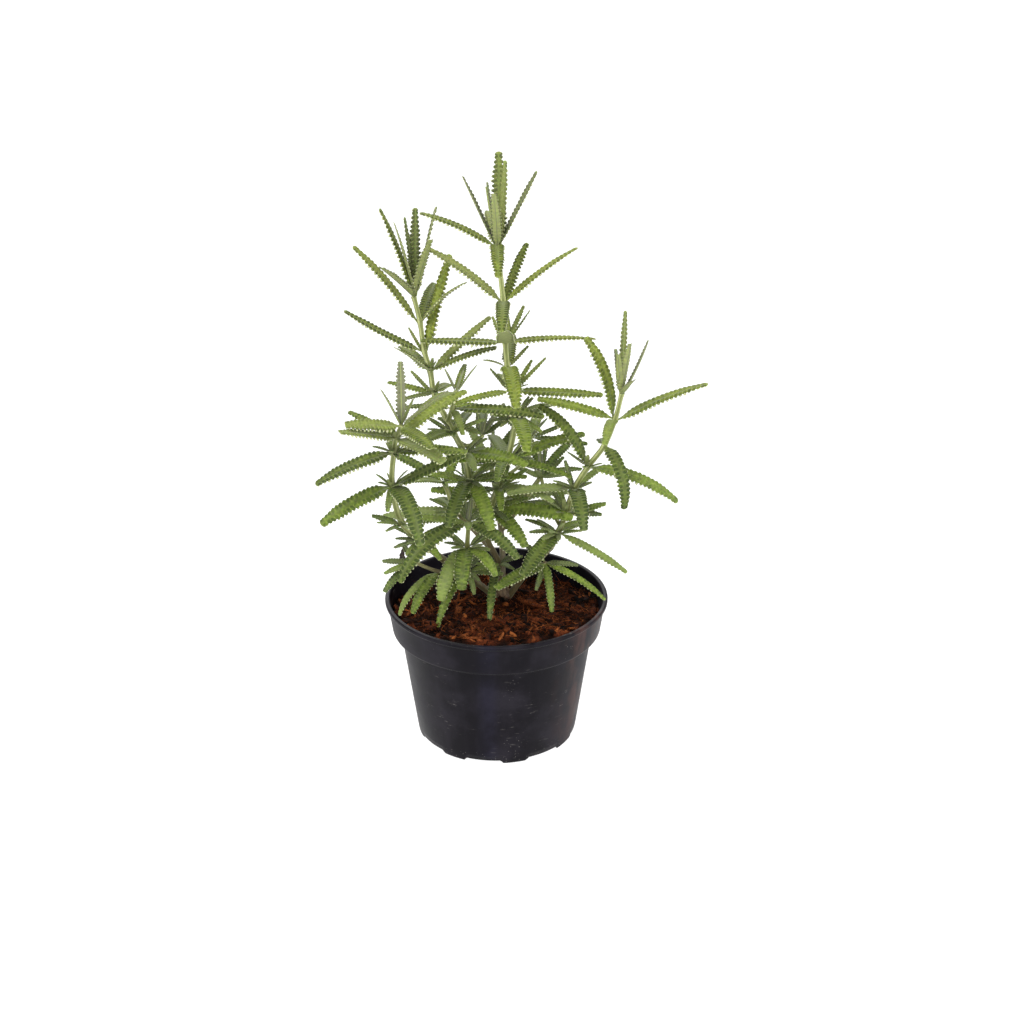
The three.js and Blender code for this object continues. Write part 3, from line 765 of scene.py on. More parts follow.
@dataclass(frozen=True)
class StemSkin:
    """The pattern of a stem's surface: four blunt edges with a rib along each, and a swelling
    at every joint."""

    sides: int = 28
    step: float = 1.1
    edge: float = 0.075
    rib: float = 0.03
    swelling: float = 0.16

    def build(self, path: StemPath, radius: float, joints: int, rng: np.random.Generator) -> Shell:
        """Skins a stem.

        The radius at an angle is the stem's own radius there, times one plus a cosine with four
        crests and a finer one with eight. It tapers upwards and swells at the joints.

        Args:
            path: the stem's curve.
            radius: its radius in millimetres.
            joints: how many joints lie along it, evenly in the curve's own measure.
            rng: source of its small irregularities.

        Returns:
            The stem's closed skin.
        """
        rough = path.at(np.linspace(0, 1, 60))
        length = float(np.linalg.norm(np.diff(rough, axis=0), axis=1).sum())
        share = np.linspace(0, 1, max(12, int(length / self.step)))
        line = path.at(share)
        ahead = np.gradient(line, axis=0)
        ahead /= np.linalg.norm(ahead, axis=1)[:, None]
        chord = line[-1] - line[0]
        flat = np.cross(UP, chord)
        leans = np.linalg.norm(flat) > 0.05 * np.linalg.norm(chord)
        start = flat if leans else np.array([1.0, 0, 0])
        right = start - (ahead @ start)[:, None] * ahead
        right /= np.linalg.norm(right, axis=1)[:, None]
        up = np.cross(ahead, right)
        angle = np.linspace(0, 2 * math.pi, self.sides, endpoint=False)
        knots = np.arange(1, joints + 1) / joints
        far = np.abs(share[:, None] - knots[None, :]).min(axis=1) * length
        bulge = self.swelling * np.exp(-((far / (1.3 * radius)) ** 2))
        taper = 0.98 - 0.24 * share
        turn = 0.35 * rng.standard_normal() + 0.5 * share
        crest = np.cos(4 * (angle[None, :] + turn[:, None]))
        fine = np.cos(8 * (angle[None, :] + turn[:, None]) + 0.4)
        size = radius * (taper + bulge)[:, None] * (1 + self.edge * crest + self.rib * fine)
        rings = (
            line[:, None, :]
            + size[..., None] * np.cos(angle)[None, :, None] * right[:, None, :]
            + size[..., None] * np.sin(angle)[None, :, None] * up[:, None, :]
        )
        rings += 0.07 * radius * lattice_noise(rings, 2.2, 11)[..., None] * UP
        whole = np.ones_like(size)
        return tube_shell(
            rings,
            {
                "crest": whole * (0.5 + 0.5 * crest),
                "tone": whole * rng.uniform(-1, 1),
            },
        )


# ------------------------------------------------------------------ node boards


Socket = bpy.types.NodeSocket
Tint = tuple[float, float, float]


class Board:
    """A material's node board, with short ways to lay the nodes that finishes use."""

    def __init__(self, name: str) -> None:
        """Starts a material with a principled shader and an output.

        Args:
            name: the material's name.
        """
        self.material = bpy.data.materials.new(name)
        self.material.use_nodes = True
        self.nodes = self.material.node_tree.nodes
        self.links = self.material.node_tree.links
        self.nodes.clear()
        self.shader = self.nodes.new("ShaderNodeBsdfPrincipled")
        output = self.nodes.new("ShaderNodeOutputMaterial")
        self.links.new(self.shader.outputs[0], output.inputs[0])
        self.place = self.nodes.new("ShaderNodeTexCoord").outputs["Object"]

    def feed(self, socket: Socket, value: "Socket | float | Tint") -> None:
        """Links a socket to another, or sets it to a plain value.

        Args:
            socket: the socket to feed.
            value: another node's socket, a number or a colour.
        """
        if isinstance(value, bpy.types.NodeSocket):
            self.links.new(value, socket)
        elif isinstance(value, tuple) and len(value) == 3 and socket.type == "RGBA":
            socket.default_value = (*value, 1.0)
        else:
            socket.default_value = value

    def set(self, **values: "Socket | float | Tint") -> None:
        """Feeds sockets of the shader, named with underscores for spaces."""
        for key, value in values.items():
            self.feed(self.shader.inputs[key.replace("_", " ")], value)

    def attribute(self, name: str) -> Socket:
        """Reads a named number of the mesh's points."""
        node = self.nodes.new("ShaderNodeAttribute")
        node.attribute_name = name
        return node.outputs["Fac"]

    def math(self, kind: str, a: "Socket | float", b: "Socket | float" = 0.0) -> Socket:
        """Works out one number from others.

        Args:
            kind: the sum to do, such as ADD.
            a: the first number.
            b: the second number, for a sum that takes two.

        Returns:
            The result.
        """
        node = self.nodes.new("ShaderNodeMath")
        node.operation = kind
        self.feed(node.inputs[0], a)
        self.feed(node.inputs[1], b)
        return node.outputs[0]

    def times(self, a: "Socket | float", b: "Socket | float") -> Socket:
        """Multiplies two numbers."""
        return self.math("MULTIPLY", a, b)

    def plus(self, a: "Socket | float", b: "Socket | float") -> Socket:
        """Adds two numbers."""
        return self.math("ADD", a, b)

    def band(
        self, value: Socket, low: float, high: float, start: float = 0.0, end: float = 1.0
    ) -> Socket:
        """Maps a number onto a span, smoothly, and holds it there.

        Args:
            value: the number.
            low: where the span starts; it may lie over high.
            high: where the span ends.
            start: the result at low.
            end: the result at high.

        Returns:
            The result.
        """
        node = self.nodes.new("ShaderNodeMapRange")
        node.interpolation_type = "SMOOTHSTEP"
        for socket, number in zip(node.inputs, (value, low, high, start, end)):
            self.feed(socket, number)
        return node.outputs[0]

    def mix(self, share: "Socket | float", a: "Socket | Tint", b: "Socket | Tint") -> Socket:
        """Blends one colour over another.

        Args:
            share: how much of b shows.
            a: the colour below.
            b: the colour above.

        Returns:
            The blend.
        """
        node = self.nodes.new("ShaderNodeMix")
        node.data_type = "RGBA"
        self.feed(node.inputs["Factor"], share)
        self.feed(node.inputs[6], a)
        self.feed(node.inputs[7], b)
        return node.outputs[2]

    def stretched(self, x: float, y: float, z: float) -> Socket:
        """Object coordinates, scaled along each axis."""
        node = self.nodes.new("ShaderNodeMapping")
        self.feed(node.inputs["Vector"], self.place)
        node.inputs["Scale"].default_value = (x, y, z)
        return node.outputs[0]

    def noise(
        self, scale: float, detail: float = 3.0, rough: float = 0.55, where: "Socket | None" = None
    ) -> Socket:
        """Lays cloudy noise.

        Args:
            scale: cells for each metre.
            detail: how many finer layers it has.
            rough: how strong the finer layers are.
            where: coordinates, or the object's own if left out.

        Returns:
            The noise, from 0 to 1.
        """
        node = self.nodes.new("ShaderNodeTexNoise")
        self.feed(node.inputs["Vector"], where or self.place)
        for key, number in zip(("Scale", "Detail", "Roughness"), (scale, detail, rough)):
            node.inputs[key].default_value = number
        return node.outputs["Fac"]

    def cells(self, scale: float) -> Socket:
        """Distance to the nearest of scattered seeds, scale in cells for each metre."""
        node = self.nodes.new("ShaderNodeTexVoronoi")
        self.feed(node.inputs["Vector"], self.place)
        node.inputs["Scale"].default_value = scale
        return node.outputs["Distance"]

    def axis(self, letter: str) -> Socket:
        """One of the object coordinates, in metres."""
        node = self.nodes.new("ShaderNodeSeparateXYZ")
        self.feed(node.inputs[0], self.place)
        return node.outputs[letter]

    def bump(self, height: Socket, distance: float, strength: float = 1.0) -> None:
        """Raises the shader's surface.

        Args:
            height: how far, as a share of the distance.
            distance: the most that it rises, in metres.
            strength: how strongly the slopes show.
        """
        node = self.nodes.new("ShaderNodeBump")
        node.inputs["Strength"].default_value = strength
        node.inputs["Distance"].default_value = distance
        self.feed(node.inputs["Height"], height)
        self.links.new(node.outputs[0], self.shader.inputs["Normal"])


# ------------------------------------------------------------------ finishes


@dataclass(frozen=True)
class LeafFinish:
    """Soft green leaf: quilted and deeper above, felted and greyer below, young ones paler."""

    deep: Tint = (0.032, 0.046, 0.003)
    fresh: Tint = (0.138, 0.165, 0.011)
    shaded: Tint = (0.020, 0.036, 0.002)
    leafy: Tint = (0.112, 0.166, 0.012)
    vein: Tint = (0.260, 0.300, 0.080)
    felt: Tint = (0.500, 0.515, 0.300)
    silver: Tint = (0.138, 0.144, 0.092)
    # Dark colour laid on the teeth: partly their own darker green, partly painted shade.
    rim: Tint = (0.016, 0.023, 0.004)
    brown: Tint = (0.022, 0.013, 0.014)

    def make(self) -> bpy.types.Material:
        """Lays the leaf's nodes.

        Returns:
            The material.
        """
        b = Board("leaf_finish")
        tone = b.attribute("tone")
        patch = b.noise(420.0, 4.0)
        shade = b.plus(b.times(tone, 0.26), b.times(patch, 0.98))
        height = b.band(b.axis("Z"), 0.15, 0.24)
        light = b.band(shade, 0.25, 0.8)
        low_leaf = b.mix(light, self.shaded, self.leafy)
        upper = b.mix(height, low_leaf, b.mix(light, self.deep, self.fresh))
        across = b.attribute("across")
        beside = b.band(across, 0.1, 0.3, 0.3, 0.6)
        furrow = b.times(b.band(b.attribute("quilt"), 0.72, 0.2), beside)
        upper = b.mix(b.times(furrow, b.band(height, 0.0, 1.0, 0.5, 0.9)), upper, self.vein)
        youth = b.attribute("youth")
        grey = b.math("MAXIMUM", b.times(youth, 0.85), b.band(tone, 0.2, 1.0, 0.0, 0.4))
        upper = b.mix(grey, upper, self.silver)
        under = b.mix(b.band(patch, 0.3, 0.7, 0.25, 0.6), self.vein, self.silver)
        colour = b.mix(b.attribute("under"), upper, under)
        tooth = b.attribute("tooth")
        # Darker teeth, more so on higher leaves: partly the teeth's own colour, partly painted
        # shade.
        notch = b.times(b.band(tooth, 0.12, 0.45), b.band(height, 0.0, 1.0, 0.2, 0.55))
        colour = b.mix(notch, colour, self.rim)
        edge = b.band(youth, 0.3, 1.0, 0.65, 0.25)
        colour = b.mix(b.times(b.band(tooth, 0.55, 0.9), edge), colour, self.felt)
        colour = b.mix(b.attribute("withered"), colour, self.brown)
        fuzz = b.noise(5200.0, 2.0, 0.7)
        pale = b.band(fuzz, 0.52, 0.75, 0.0, 0.18)
        colour = b.mix(pale, colour, self.silver)
        b.set(
            Base_Color=colour,
            Roughness=b.band(patch, 0.2, 0.8, 0.52, 0.68),
            Specular_IOR_Level=0.22,
            Subsurface_Weight=0.12,
            Subsurface_Radius=(0.4, 0.9, 0.15),
            Subsurface_Scale=0.0012,
            Sheen_Weight=0.1,
            Sheen_Roughness=0.45,
            Sheen_Tint=(0.85, 0.95, 0.6),
        )
        b.bump(b.plus(b.times(fuzz, 0.5), b.noise(1500.0, 3.0)), 0.00012, 0.6)
        return b.material


@dataclass(frozen=True)
class StemFinish:
    """Downy green stem with paler ribs, yellower and browner towards the ground."""

    green: Tint = (0.110, 0.132, 0.026)
    pale: Tint = (0.350, 0.375, 0.155)
    straw: Tint = (0.130, 0.130, 0.026)
    bark: Tint = (0.055, 0.023, 0.013)

    def make(self) -> bpy.types.Material:
        """Lays the stem's nodes.

        Returns:
            The material.
        """
        b = Board("stem_finish")
        crest = b.attribute("crest")
        flecks = b.noise(900.0, 4.0, 0.6, b.stretched(1.0, 1.0, 0.25))
        colour = b.mix(b.band(crest, 0.2, 0.95, 0.1, 0.85), self.green, self.pale)
        height = b.axis("Z")
        colour = b.mix(b.band(height, 0.16, 0.11, 0.0, 0.6), colour, self.straw)
        low = b.times(b.band(height, 0.125, 0.1), b.band(flecks, 0.3, 0.62, 0.6, 1.0))
        colour = b.mix(low, colour, self.bark)
        colour = b.mix(b.band(flecks, 0.35, 0.7, 0.0, 0.35), colour, self.green)
        down = b.noise(4200.0, 2.0, 0.7)
        colour = b.mix(b.band(down, 0.55, 0.8, 0.0, 0.2), colour, self.pale)
        b.set(
            Base_Color=colour,
            Roughness=b.band(flecks, 0.2, 0.8, 0.48, 0.66),
            Subsurface_Weight=0.08,
            Subsurface_Radius=(0.5, 0.9, 0.2),
            Subsurface_Scale=0.0015,
            Sheen_Weight=0.12,
            Sheen_Roughness=0.5,
            Sheen_Tint=(0.9, 0.95, 0.8),
        )
        b.bump(b.plus(flecks, b.times(down, 0.6)), 0.00015, 0.6)
        return b.material


@dataclass(frozen=True)
class BarkFinish:
    """Thin brown bark of the crown."""

    dark: Tint = (0.045, 0.028, 0.018)
    light: Tint = (0.160, 0.110, 0.060)

    def make(self) -> bpy.types.Material:
        """Lays the bark's nodes.

        Returns:
            The material.
        """
        b = Board("bark_finish")
        strips = b.noise(700.0, 5.0, 0.65, b.stretched(1.0, 1.0, 0.2))
        b.set(Base_Color=b.mix(b.band(strips, 0.3, 0.7), self.dark, self.light), Roughness=0.9)
        b.bump(strips, 0.0008)
        return b.material


@dataclass(frozen=True)
class PotFinish:
    """Dark satin plastic: faint streaks, a painted bluish sheen down the front, scratches, dust and
    a smear.
    """

    dark: Tint = (0.0030, 0.0024, 0.0042)
    light: Tint = (0.0120, 0.0105, 0.0150)
    # Bluish colour of the painted sheen.
    sheen_blue: Tint = (0.0120, 0.0115, 0.0250)
    dust: Tint = (0.240, 0.225, 0.210)
    smear: Tint = (0.075, 0.034, 0.026)
    # Where the painted sheen runs, a little left of the middle, and its half width, in metres.
    sheen_offset: float = 0.0045
    sheen_half: float = 0.008

    def make(self) -> bpy.types.Material:
        """Lays the plastic's nodes.

        Returns:
            The material.
        """
        b = Board("pot_finish")
        cloud = b.noise(38.0, 5.0, 0.6)
        streak = b.noise(90.0, 4.0, 0.6, b.stretched(1.0, 1.0, 0.12))
        grain = b.noise(2600.0, 2.0, 0.6)
        colour = b.mix(b.band(cloud, 0.42, 0.72), self.dark, self.light)
        colour = b.mix(b.band(streak, 0.45, 0.75, 0.0, 0.6), colour, self.light)
        # Painted sheen: a bluish vertical reflection painted down the front of the wall, a little
        # left of the middle, broken up by the clouds.
        off = b.math("ABSOLUTE", b.plus(b.axis("X"), self.sheen_offset))
        front = b.times(b.band(b.axis("Y"), -0.02, -0.04), b.band(cloud, 0.35, 0.6, 0.3, 1.0))
        painted_sheen = b.times(b.band(off, self.sheen_half, 0.001, 0.0, 0.4), front)
        colour = b.mix(painted_sheen, colour, self.sheen_blue)
        near_foot = b.band(b.axis("Z"), 0.010, 0.002, 0.0, 0.8)
        dusty = b.math("MAXIMUM", b.band(b.noise(60.0), 0.55, 0.72), near_foot)
        speck = b.times(b.band(b.cells(620.0), 0.18, 0.05), dusty)
        scratch = b.noise(420.0, 4.0, 0.7, b.stretched(0.35, 0.35, 2.4))
        scuff = b.times(b.band(scratch, 0.6, 0.7), b.band(b.noise(55.0, 2.0), 0.5, 0.66))
        stain = b.noise(70.0, 4.0, 0.6, b.stretched(1.0, 1.0, 0.4))
        smear = b.times(b.band(b.axis("X"), 0.026, 0.050), b.band(b.axis("Y"), -0.002, -0.02))
        smear = b.times(smear, b.band(stain, 0.45, 0.7, 0.0, 0.6))
        colour = b.mix(smear, colour, self.smear)
        colour = b.mix(b.times(speck, 0.8), colour, self.dust)
        colour = b.mix(b.times(scuff, 0.28), colour, self.dust)
        rough = b.plus(b.band(cloud, 0.3, 0.75, 0.36, 0.5), b.times(speck, 0.3))
        b.set(Base_Color=colour, Roughness=rough, IOR=1.18)
        b.bump(b.plus(b.times(grain, 0.25), streak), 0.00012, 0.5)
        return b.material


@dataclass(frozen=True)
class MixFinish:
    """Damp reddish-brown coir, from near black painted shade in its pits and between strands to
    orange on the chips.
    """

    name: str = "coir_finish"
    # Near black painted shade for the low places of the mix.
    hollow_shade: Tint = (0.0018, 0.0008, 0.0005)
    brown: Tint = (0.086, 0.020, 0.0064)
    orange: Tint = (0.360, 0.112, 0.030)

    def make(self) -> bpy.types.Material:
        """Lays the coir's nodes.

        Returns:
            The material.
        """
        b = Board(self.name)
        tone = b.attribute("tone")
        strands = b.noise(1300.0, 5.0, 0.75)
        clumps = b.noise(210.0, 5.0, 0.7)
        mixed = b.plus(b.times(strands, 0.6), b.times(clumps, 0.4))
        raised = b.plus(b.times(mixed, 0.6), b.times(tone, 0.4))
        # Painted shade: the lower the noise and the bed's tone, the nearer the colour goes to near
        # black.
        colour = b.mix(b.band(raised, 0.37, 0.56), self.hollow_shade, self.brown)
        ripe = b.plus(tone, mixed)
        colour = b.mix(b.band(ripe, 1.05, 1.55, 0.0, 0.9), colour, self.orange)
        # Painted shade: near black between the strands and in larger dark patches.
        colour = b.mix(b.band(strands, 0.52, 0.38, 0.0, 0.85), colour, self.hollow_shade)
        colour = b.mix(b.band(b.noise(85.0, 3.0, 0.6), 0.5, 0.38, 0.0, 0.8), colour, self.hollow_shade)
        b.set(
            Base_Color=colour,
            Roughness=b.band(strands, 0.3, 0.7, 0.6, 0.95),
            Specular_IOR_Level=0.06,
        )
        b.bump(mixed, 0.0016, 1.0)
        return b.material


@dataclass(frozen=True)
class PaperFinish:
    """White backdrop that glows softly, so that it throws little light back up."""

    white: Tint = (0.22, 0.22, 0.22)
    glow: float = 0.92

    def make(self) -> bpy.types.Material:
        """Lays the paper's nodes.

        Returns:
            The material.
        """
        b = Board("paper_finish")
        b.set(
            Base_Color=self.white,
            Roughness=0.9,
            Emission_Color=(1.0, 1.0, 1.0),
            Emission_Strength=self.glow,
        )
        return b.material


# ------------------------------------------------------------------ the pot and its mix


@dataclass(frozen=True)
class NurseryPot:
    """A thin round pot: tapering wall, round shoulder, wide stacking band and beaded lip."""

    segments: int = 288
    slots: int = 8
    slot_width: float = 19.0
    slot_height: float = 2.4
    slot_inner: float = 35.5
    slot_start: float = -99.2
    slot_edge: float = 1.1

    def profile(self) -> Array:
        """Draws half the wall's section, from the middle of the underside round to the inside.

        Returns:
            Radius and height of its points.
        """
        corners = np.array(
            [
                (0.0, 0.0, 0.0), (self.slot_inner - 0.6, 0.0, 0.0), (self.slot_inner, 0.0, 0.0),
                (43.3, 0.0, 1.6), (51.7, 59.0, 0.8), (52.6, 61.0, 0.9), (56.2, 61.6, 1.3),
                (58.5, 77.0, 0.5), (59.1, 77.5, 0.4), (60.0, 78.0, 0.6), (60.0, 80.0, 0.7),
                (57.6, 80.0, 0.7), (57.2, 77.5, 0.6), (54.8, 63.2, 1.0), (50.5, 61.0, 1.0),
                (42.0, 5.4, 1.0), (39.8, 3.6, 0.8), (0.0, 3.6, 0.0),
            ]
        )
        return fillet(corners, 5)

    def build(self, finish: bpy.types.Material) -> bpy.types.Object:
        """Turns the profile about +Z and lifts the underside's edge where the drain slots are.

        Args:
            finish: the plastic.

        Returns:
            The pot.
        """
        line = refine(self.profile())
        angle = np.linspace(0, 2 * math.pi, self.segments, endpoint=False)
        radius = np.broadcast_to(line[:, :1], (len(line), self.segments))
        turn = (np.degrees(angle) - self.slot_start + 180.0 / self.slots) % (360.0 / self.slots)
        sideways = radius * np.abs(np.sin(np.radians(turn - 180.0 / self.slots)))[None, :]
        outer_edge = self.slot_width / 2 + self.slot_edge
        open_share = np.clip((outer_edge - sideways) / self.slot_edge, 0, 1)
        outside = np.arange(len(line))[:, None] < len(line) * 0.5
        low = self.slot_height * open_share * ((radius > self.slot_inner - 0.3) & outside)
        height = np.maximum(np.broadcast_to(line[:, 1:], radius.shape), low)
        rings = np.stack([radius * np.cos(angle), radius * np.sin(angle), height], axis=-1)
        return tube_shell(rings[1:-1], {}).to_object("nursery_pot_shell", finish)


def refine(line: Array, longest: float = 4.0) -> Array:
    """Adds points to the long straight runs of a line.

    Args:
        line: radius and height of its points.
        longest: about how long a run may be, in millimetres.

    Returns:
        The line with more points.
    """
    step = np.linalg.norm(np.diff(line, axis=0), axis=1)
    pieces = [
        a + (b - a) * np.linspace(0, 1, max(2, int(d / longest) + 1))[:-1, None]
        for a, b, d in zip(line[:-1], line[1:], step)
    ]
    return np.concatenate([*pieces, line[-1:]])


def revolve(line: Array, angle: Array) -> Array:
    """Turns a line about +Z.

    Args:
        line: radius and height of its points.
        angle: turns in radians.

    Returns:
        A ring of places for each point of the line.
    """
    height = np.broadcast_to(line[:, 1:], (len(line), len(angle)))
    return np.stack([line[:, :1] * np.cos(angle), line[:, :1] * np.sin(angle), height], axis=-1)


def fillet(corners: Array, steps: int) -> Array:
    """Rounds the corners of a line.

    Each corner with a radius is replaced by a parabola that leaves one side and joins the other
    at that distance from the corner.

    Args:
        corners: rows of radius, height and rounding distance.
        steps: points on each rounded corner.

    Returns:
        The rounded line's radius and height.
    """
    parts = []
    share = np.linspace(0, 1, steps)[:, None]
    for k, (r, z, size) in enumerate(corners):
        here = np.array([[r, z]])
        if size == 0.0:
            parts.append(here)
            continue
        before, after = corners[k - 1, :2] - here[0], corners[k + 1, :2] - here[0]
        start = here + before / np.linalg.norm(before) * size
        end = here + after / np.linalg.norm(after) * size
        parts.append((1 - share) ** 2 * start + 2 * share * (1 - share) * here + share**2 * end)
    return np.concatenate(parts)


@dataclass(frozen=True)
class PottingMix:
    """Coir in the pot: a lumpy bed that falls towards the back, loose chips and strands."""

    centre: float = 73.0
    slope: float = 0.14
    reach: float = 56.0
    wall_radius: float = 54.3
    wall_height: float = 63.0
    wall_slope: float = 0.16
    underside: tuple[tuple[float, float], ...] = (
        (2.0, 4.2), (41.0, 4.2), (49.8, 60.0), (53.6, 62.8),
    )
    scatter_radius: float = 54.0
    strand_reach: float = 55.5
    lumps: int = 60
    chips: int = 1700
    strands: int = 2600
    rings: int = 150
    spokes: int = 300

    def relief(self, x: Array, y: Array) -> Array:
        """Raises lumps and sinks pits in the bed, from layers of noise.

        Args:
            x: places along X.
            y: places along Y.

        Returns:
            How far each place is raised, in millimetres.
        """
        places = np.stack([x, y, 0 * x], axis=-1)
        lumps = 1.7 * layered_noise(places, 10.0, 2, 40) + 1.5 * layered_noise(places, 4.2, 3, 50)
        return lumps + 0.9 * np.abs(layered_noise(places * np.array([1.0, 2.2, 1.0]), 2.4, 2, 70))

    def height(self, x: Array, y: Array) -> Array:
        """Height of the bed: a tilted dish, lower at the rim, with the relief on it."""
        far = np.hypot(x, y) / self.reach
        return self.centre - self.slope * y - 1.6 * far**3 + self.relief(x, y)

    def bed(self, finish: bpy.types.Material) -> bpy.types.Object:
        """Lays the bed as rings about the pot's axis, down the wall and across underneath.

        Args:
            finish: the coir.

        Returns:
            The bed.
        """
        angle = np.linspace(0, 2 * math.pi, self.spokes, endpoint=False)
        share = np.sqrt(np.linspace(0.00002, 1.0, self.rings))
        radius = self.reach * share[::-1, None]
        x, y = radius * np.cos(angle), radius * np.sin(angle)
        top = self.height(x, y)
        wall = self.wall_radius + (top[:1] - self.wall_height) * self.wall_slope
        wall = np.minimum(self.reach, wall) / self.reach
        scale = 1 + (wall - 1) * share[::-1, None] ** 6
        cap = np.stack([x * scale, y * scale, top], axis=-1)
        rings = np.concatenate([revolve(np.array(self.underside), angle), cap])
        relief = self.relief(rings[..., 0], rings[..., 1])
        # The tone follows the relief and is lower in the pits, where the coir finish paints shade
        # near black.
        tone = np.clip(0.3 + 0.13 * relief, 0.0, 0.85)
        return tube_shell(rings, {"tone": tone}).to_object("coir_bed", finish)

    def scatter(self, count: int, rng: np.random.Generator) -> tuple[Array, Array]:
        """Random places on the bed, and turns about +Z.

        Args:
            count: how many.
            rng: source of the places.

        Returns:
            Places as x, y and z, and turns in radians.
        """
        radius = self.scatter_radius * np.sqrt(rng.random(count))
        angle = rng.uniform(0, 2 * math.pi, count)
        x, y = radius * np.cos(angle), radius * np.sin(angle)
        return np.stack([x, y, self.height(x, y)], axis=-1), rng.uniform(0, 2 * math.pi, count)

    def loose_chips(self, finish: bpy.types.Material) -> bpy.types.Object:
        """Scatters a few lumps and many splinters, each a six-sided spindle knocked out of true.

        Args:
            finish: the coir.

        Returns:
            The chips as one piece.
        """
        rng = np.random.default_rng(21)
        count = self.lumps + self.chips
        place, turn = self.scatter(count, rng)
        lump = np.arange(count) < self.lumps
        length = np.where(lump, rng.uniform(3.5, 7.0, count), rng.gamma(3.0, 1.05, count) + 0.9)
        stout, slender = rng.uniform(0.5, 0.8, count), rng.uniform(0.16, 0.46, count)
        width = length * np.where(lump, stout, slender)
        thick = width * rng.uniform(0.35, 0.75, count)
        ring = np.linspace(0, 2 * math.pi, 6, endpoint=False)
        stations = np.array([-1.0, -0.7, 0.0, 0.7, 1.0])
        girth = np.array([0.35, 0.9, 1.0, 0.85, 0.3])
        body = np.zeros((count, 5, 6, 3))
        body[..., 0] = stations[None, :, None]
        body[..., 1] = girth[None, :, None] * np.cos(ring)
        body[..., 2] = girth[None, :, None] * np.sin(ring)
        body += rng.normal(0, 0.2, body.shape)
        body *= np.stack([length / 2, width / 2, thick / 2], axis=-1)[:, None, None, :]
        tilt, roll = rng.normal(0, 0.42, count), rng.normal(0, 0.5, count)
        body = spin(body, roll, 0)
        body = spin(body, tilt, 1)
        body = spin(body, turn, 2)
        body += (place + np.outer(thick * 0.3 + 0.1, UP))[:, None, None, :]
        tone = 1.1 * rng.beta(1.5, 2.6, count)
        return bundle(body, tone).to_object("coir_chips", finish)

    def loose_strands(self, finish: bpy.types.Material) -> bpy.types.Object:
        """Scatters bent threads, each a three-sided tube on a shallow arc.

        Args:
            finish: the coir.

        Returns:
            The strands as one piece.
        """
        rng = np.random.default_rng(22)
        place, turn = self.scatter(self.strands, rng)
        length = rng.gamma(3.0, 3.0, self.strands) + 3.5
        thick = rng.uniform(0.06, 0.17, self.strands)
        share = np.linspace(-1, 1, 8)
        ring = np.linspace(0, 2 * math.pi, 3, endpoint=False)
        bend = rng.normal(0, 0.22, (self.strands, 2))
        body = np.zeros((self.strands, 8, 3, 3))
        body[..., 0] = (length[:, None] / 2 * share)[..., None]
        arc = length[:, None] / 2 * share**2
        taper = (1.05 - 0.75 * np.abs(share))[None, :, None] * thick[:, None, None]
        body[..., 1] = (bend[:, :1] * arc)[..., None] + taper * np.cos(ring)
        body[..., 2] = (bend[:, 1:] * arc)[..., None] + taper * np.sin(ring)
        body = spin(body, rng.normal(0, 0.16, self.strands), 1)
        body = spin(body, turn, 2)
        body += (place + np.outer(rng.uniform(0.1, 1.0, self.strands), UP))[:, None, None, :]
        reach = np.hypot(body[..., 0], body[..., 1]).max(axis=(1, 2))
        body = body[reach < self.strand_reach]
        tone = 1.3 * rng.beta(1.2, 1.8, len(body))
        return bundle(body, tone).to_object("coir_strands", finish)


def spin(bodies: Array, angle: Array, axis: int) -> Array:
    """Turns each body about an axis through the origin by its own angle.

    Args:
        bodies: points, by body first and by axis last.
        angle: each body's angle in radians.
        axis: 0, 1 or 2 for X, Y or Z.

    Returns:
        The turned points.
    """
    a, b = [(1, 2), (2, 0), (0, 1)][axis]
    turned = bodies.copy()
    shape = (-1,) + (1,) * (bodies.ndim - 2)
    c, s = np.cos(angle).reshape(shape), np.sin(angle).reshape(shape)
    turned[..., a] = c * bodies[..., a] - s * bodies[..., b]
    turned[..., b] = s * bodies[..., a] + c * bodies[..., b]
    return turned


def bundle(bodies: Array, tone: Array) -> Shell:
    """Skins many small tubes that have the same rings, all at once.

    Args:
        bodies: points by tube, ring, place round the ring and axis.
        tone: one number for each tube.

    Returns:
        One shell with all of them.
    """
    count, rings, around = bodies.shape[:3]
    first = tube_shell(bodies[0], {"tone": np.full((rings, around), tone[0])})
    size = len(first.points)
    ends = bodies[:, [0, -1]].mean(axis=2)
    points = np.concatenate([bodies.reshape(count, -1, 3), ends], axis=1).reshape(-1, 3)
    starts = (np.arange(count) * size)[:, None, None]
    return Shell(
        points,
        (first.quads[None] + starts).reshape(-1, 4),
        (first.triangles[None] + starts).reshape(-1, 3),
        {"tone": np.repeat(tone, size)},
    )


# ------------------------------------------------------------------ the plant


@dataclass(frozen=True)
class RootCrown:
    """The short woody foot that the stems rise from."""

    spokes: int = 48
    outline: tuple[tuple[float, float, float], ...] = (
        (0.2, 58.0, 0.0), (2.6, 58.0, 0.8), (5.0, 67.0, 2.0),
        (4.8, 74.5, 1.5), (3.2, 79.0, 1.0), (0.2, 79.4, 0.0),
    )

    def build(self, finish: bpy.types.Material) -> bpy.types.Object:
        """Turns a knobbly profile about the crown's axis.

        Args:
            finish: the bark.

        Returns:
            The crown.
        """
        angle = np.linspace(0, 2 * math.pi, self.spokes, endpoint=False)
        rings = revolve(refine(fillet(np.array(self.outline), 6)), angle)
        swell = 1 + 0.13 * layered_noise(rings, 3.0, 2, 120)[..., None]
        rings = rings * np.where(np.arange(3) < 2, swell, 1.0) + np.array([*CROWN, 0.0])
        return tube_shell(rings, {}).to_object("crown_bark", finish)


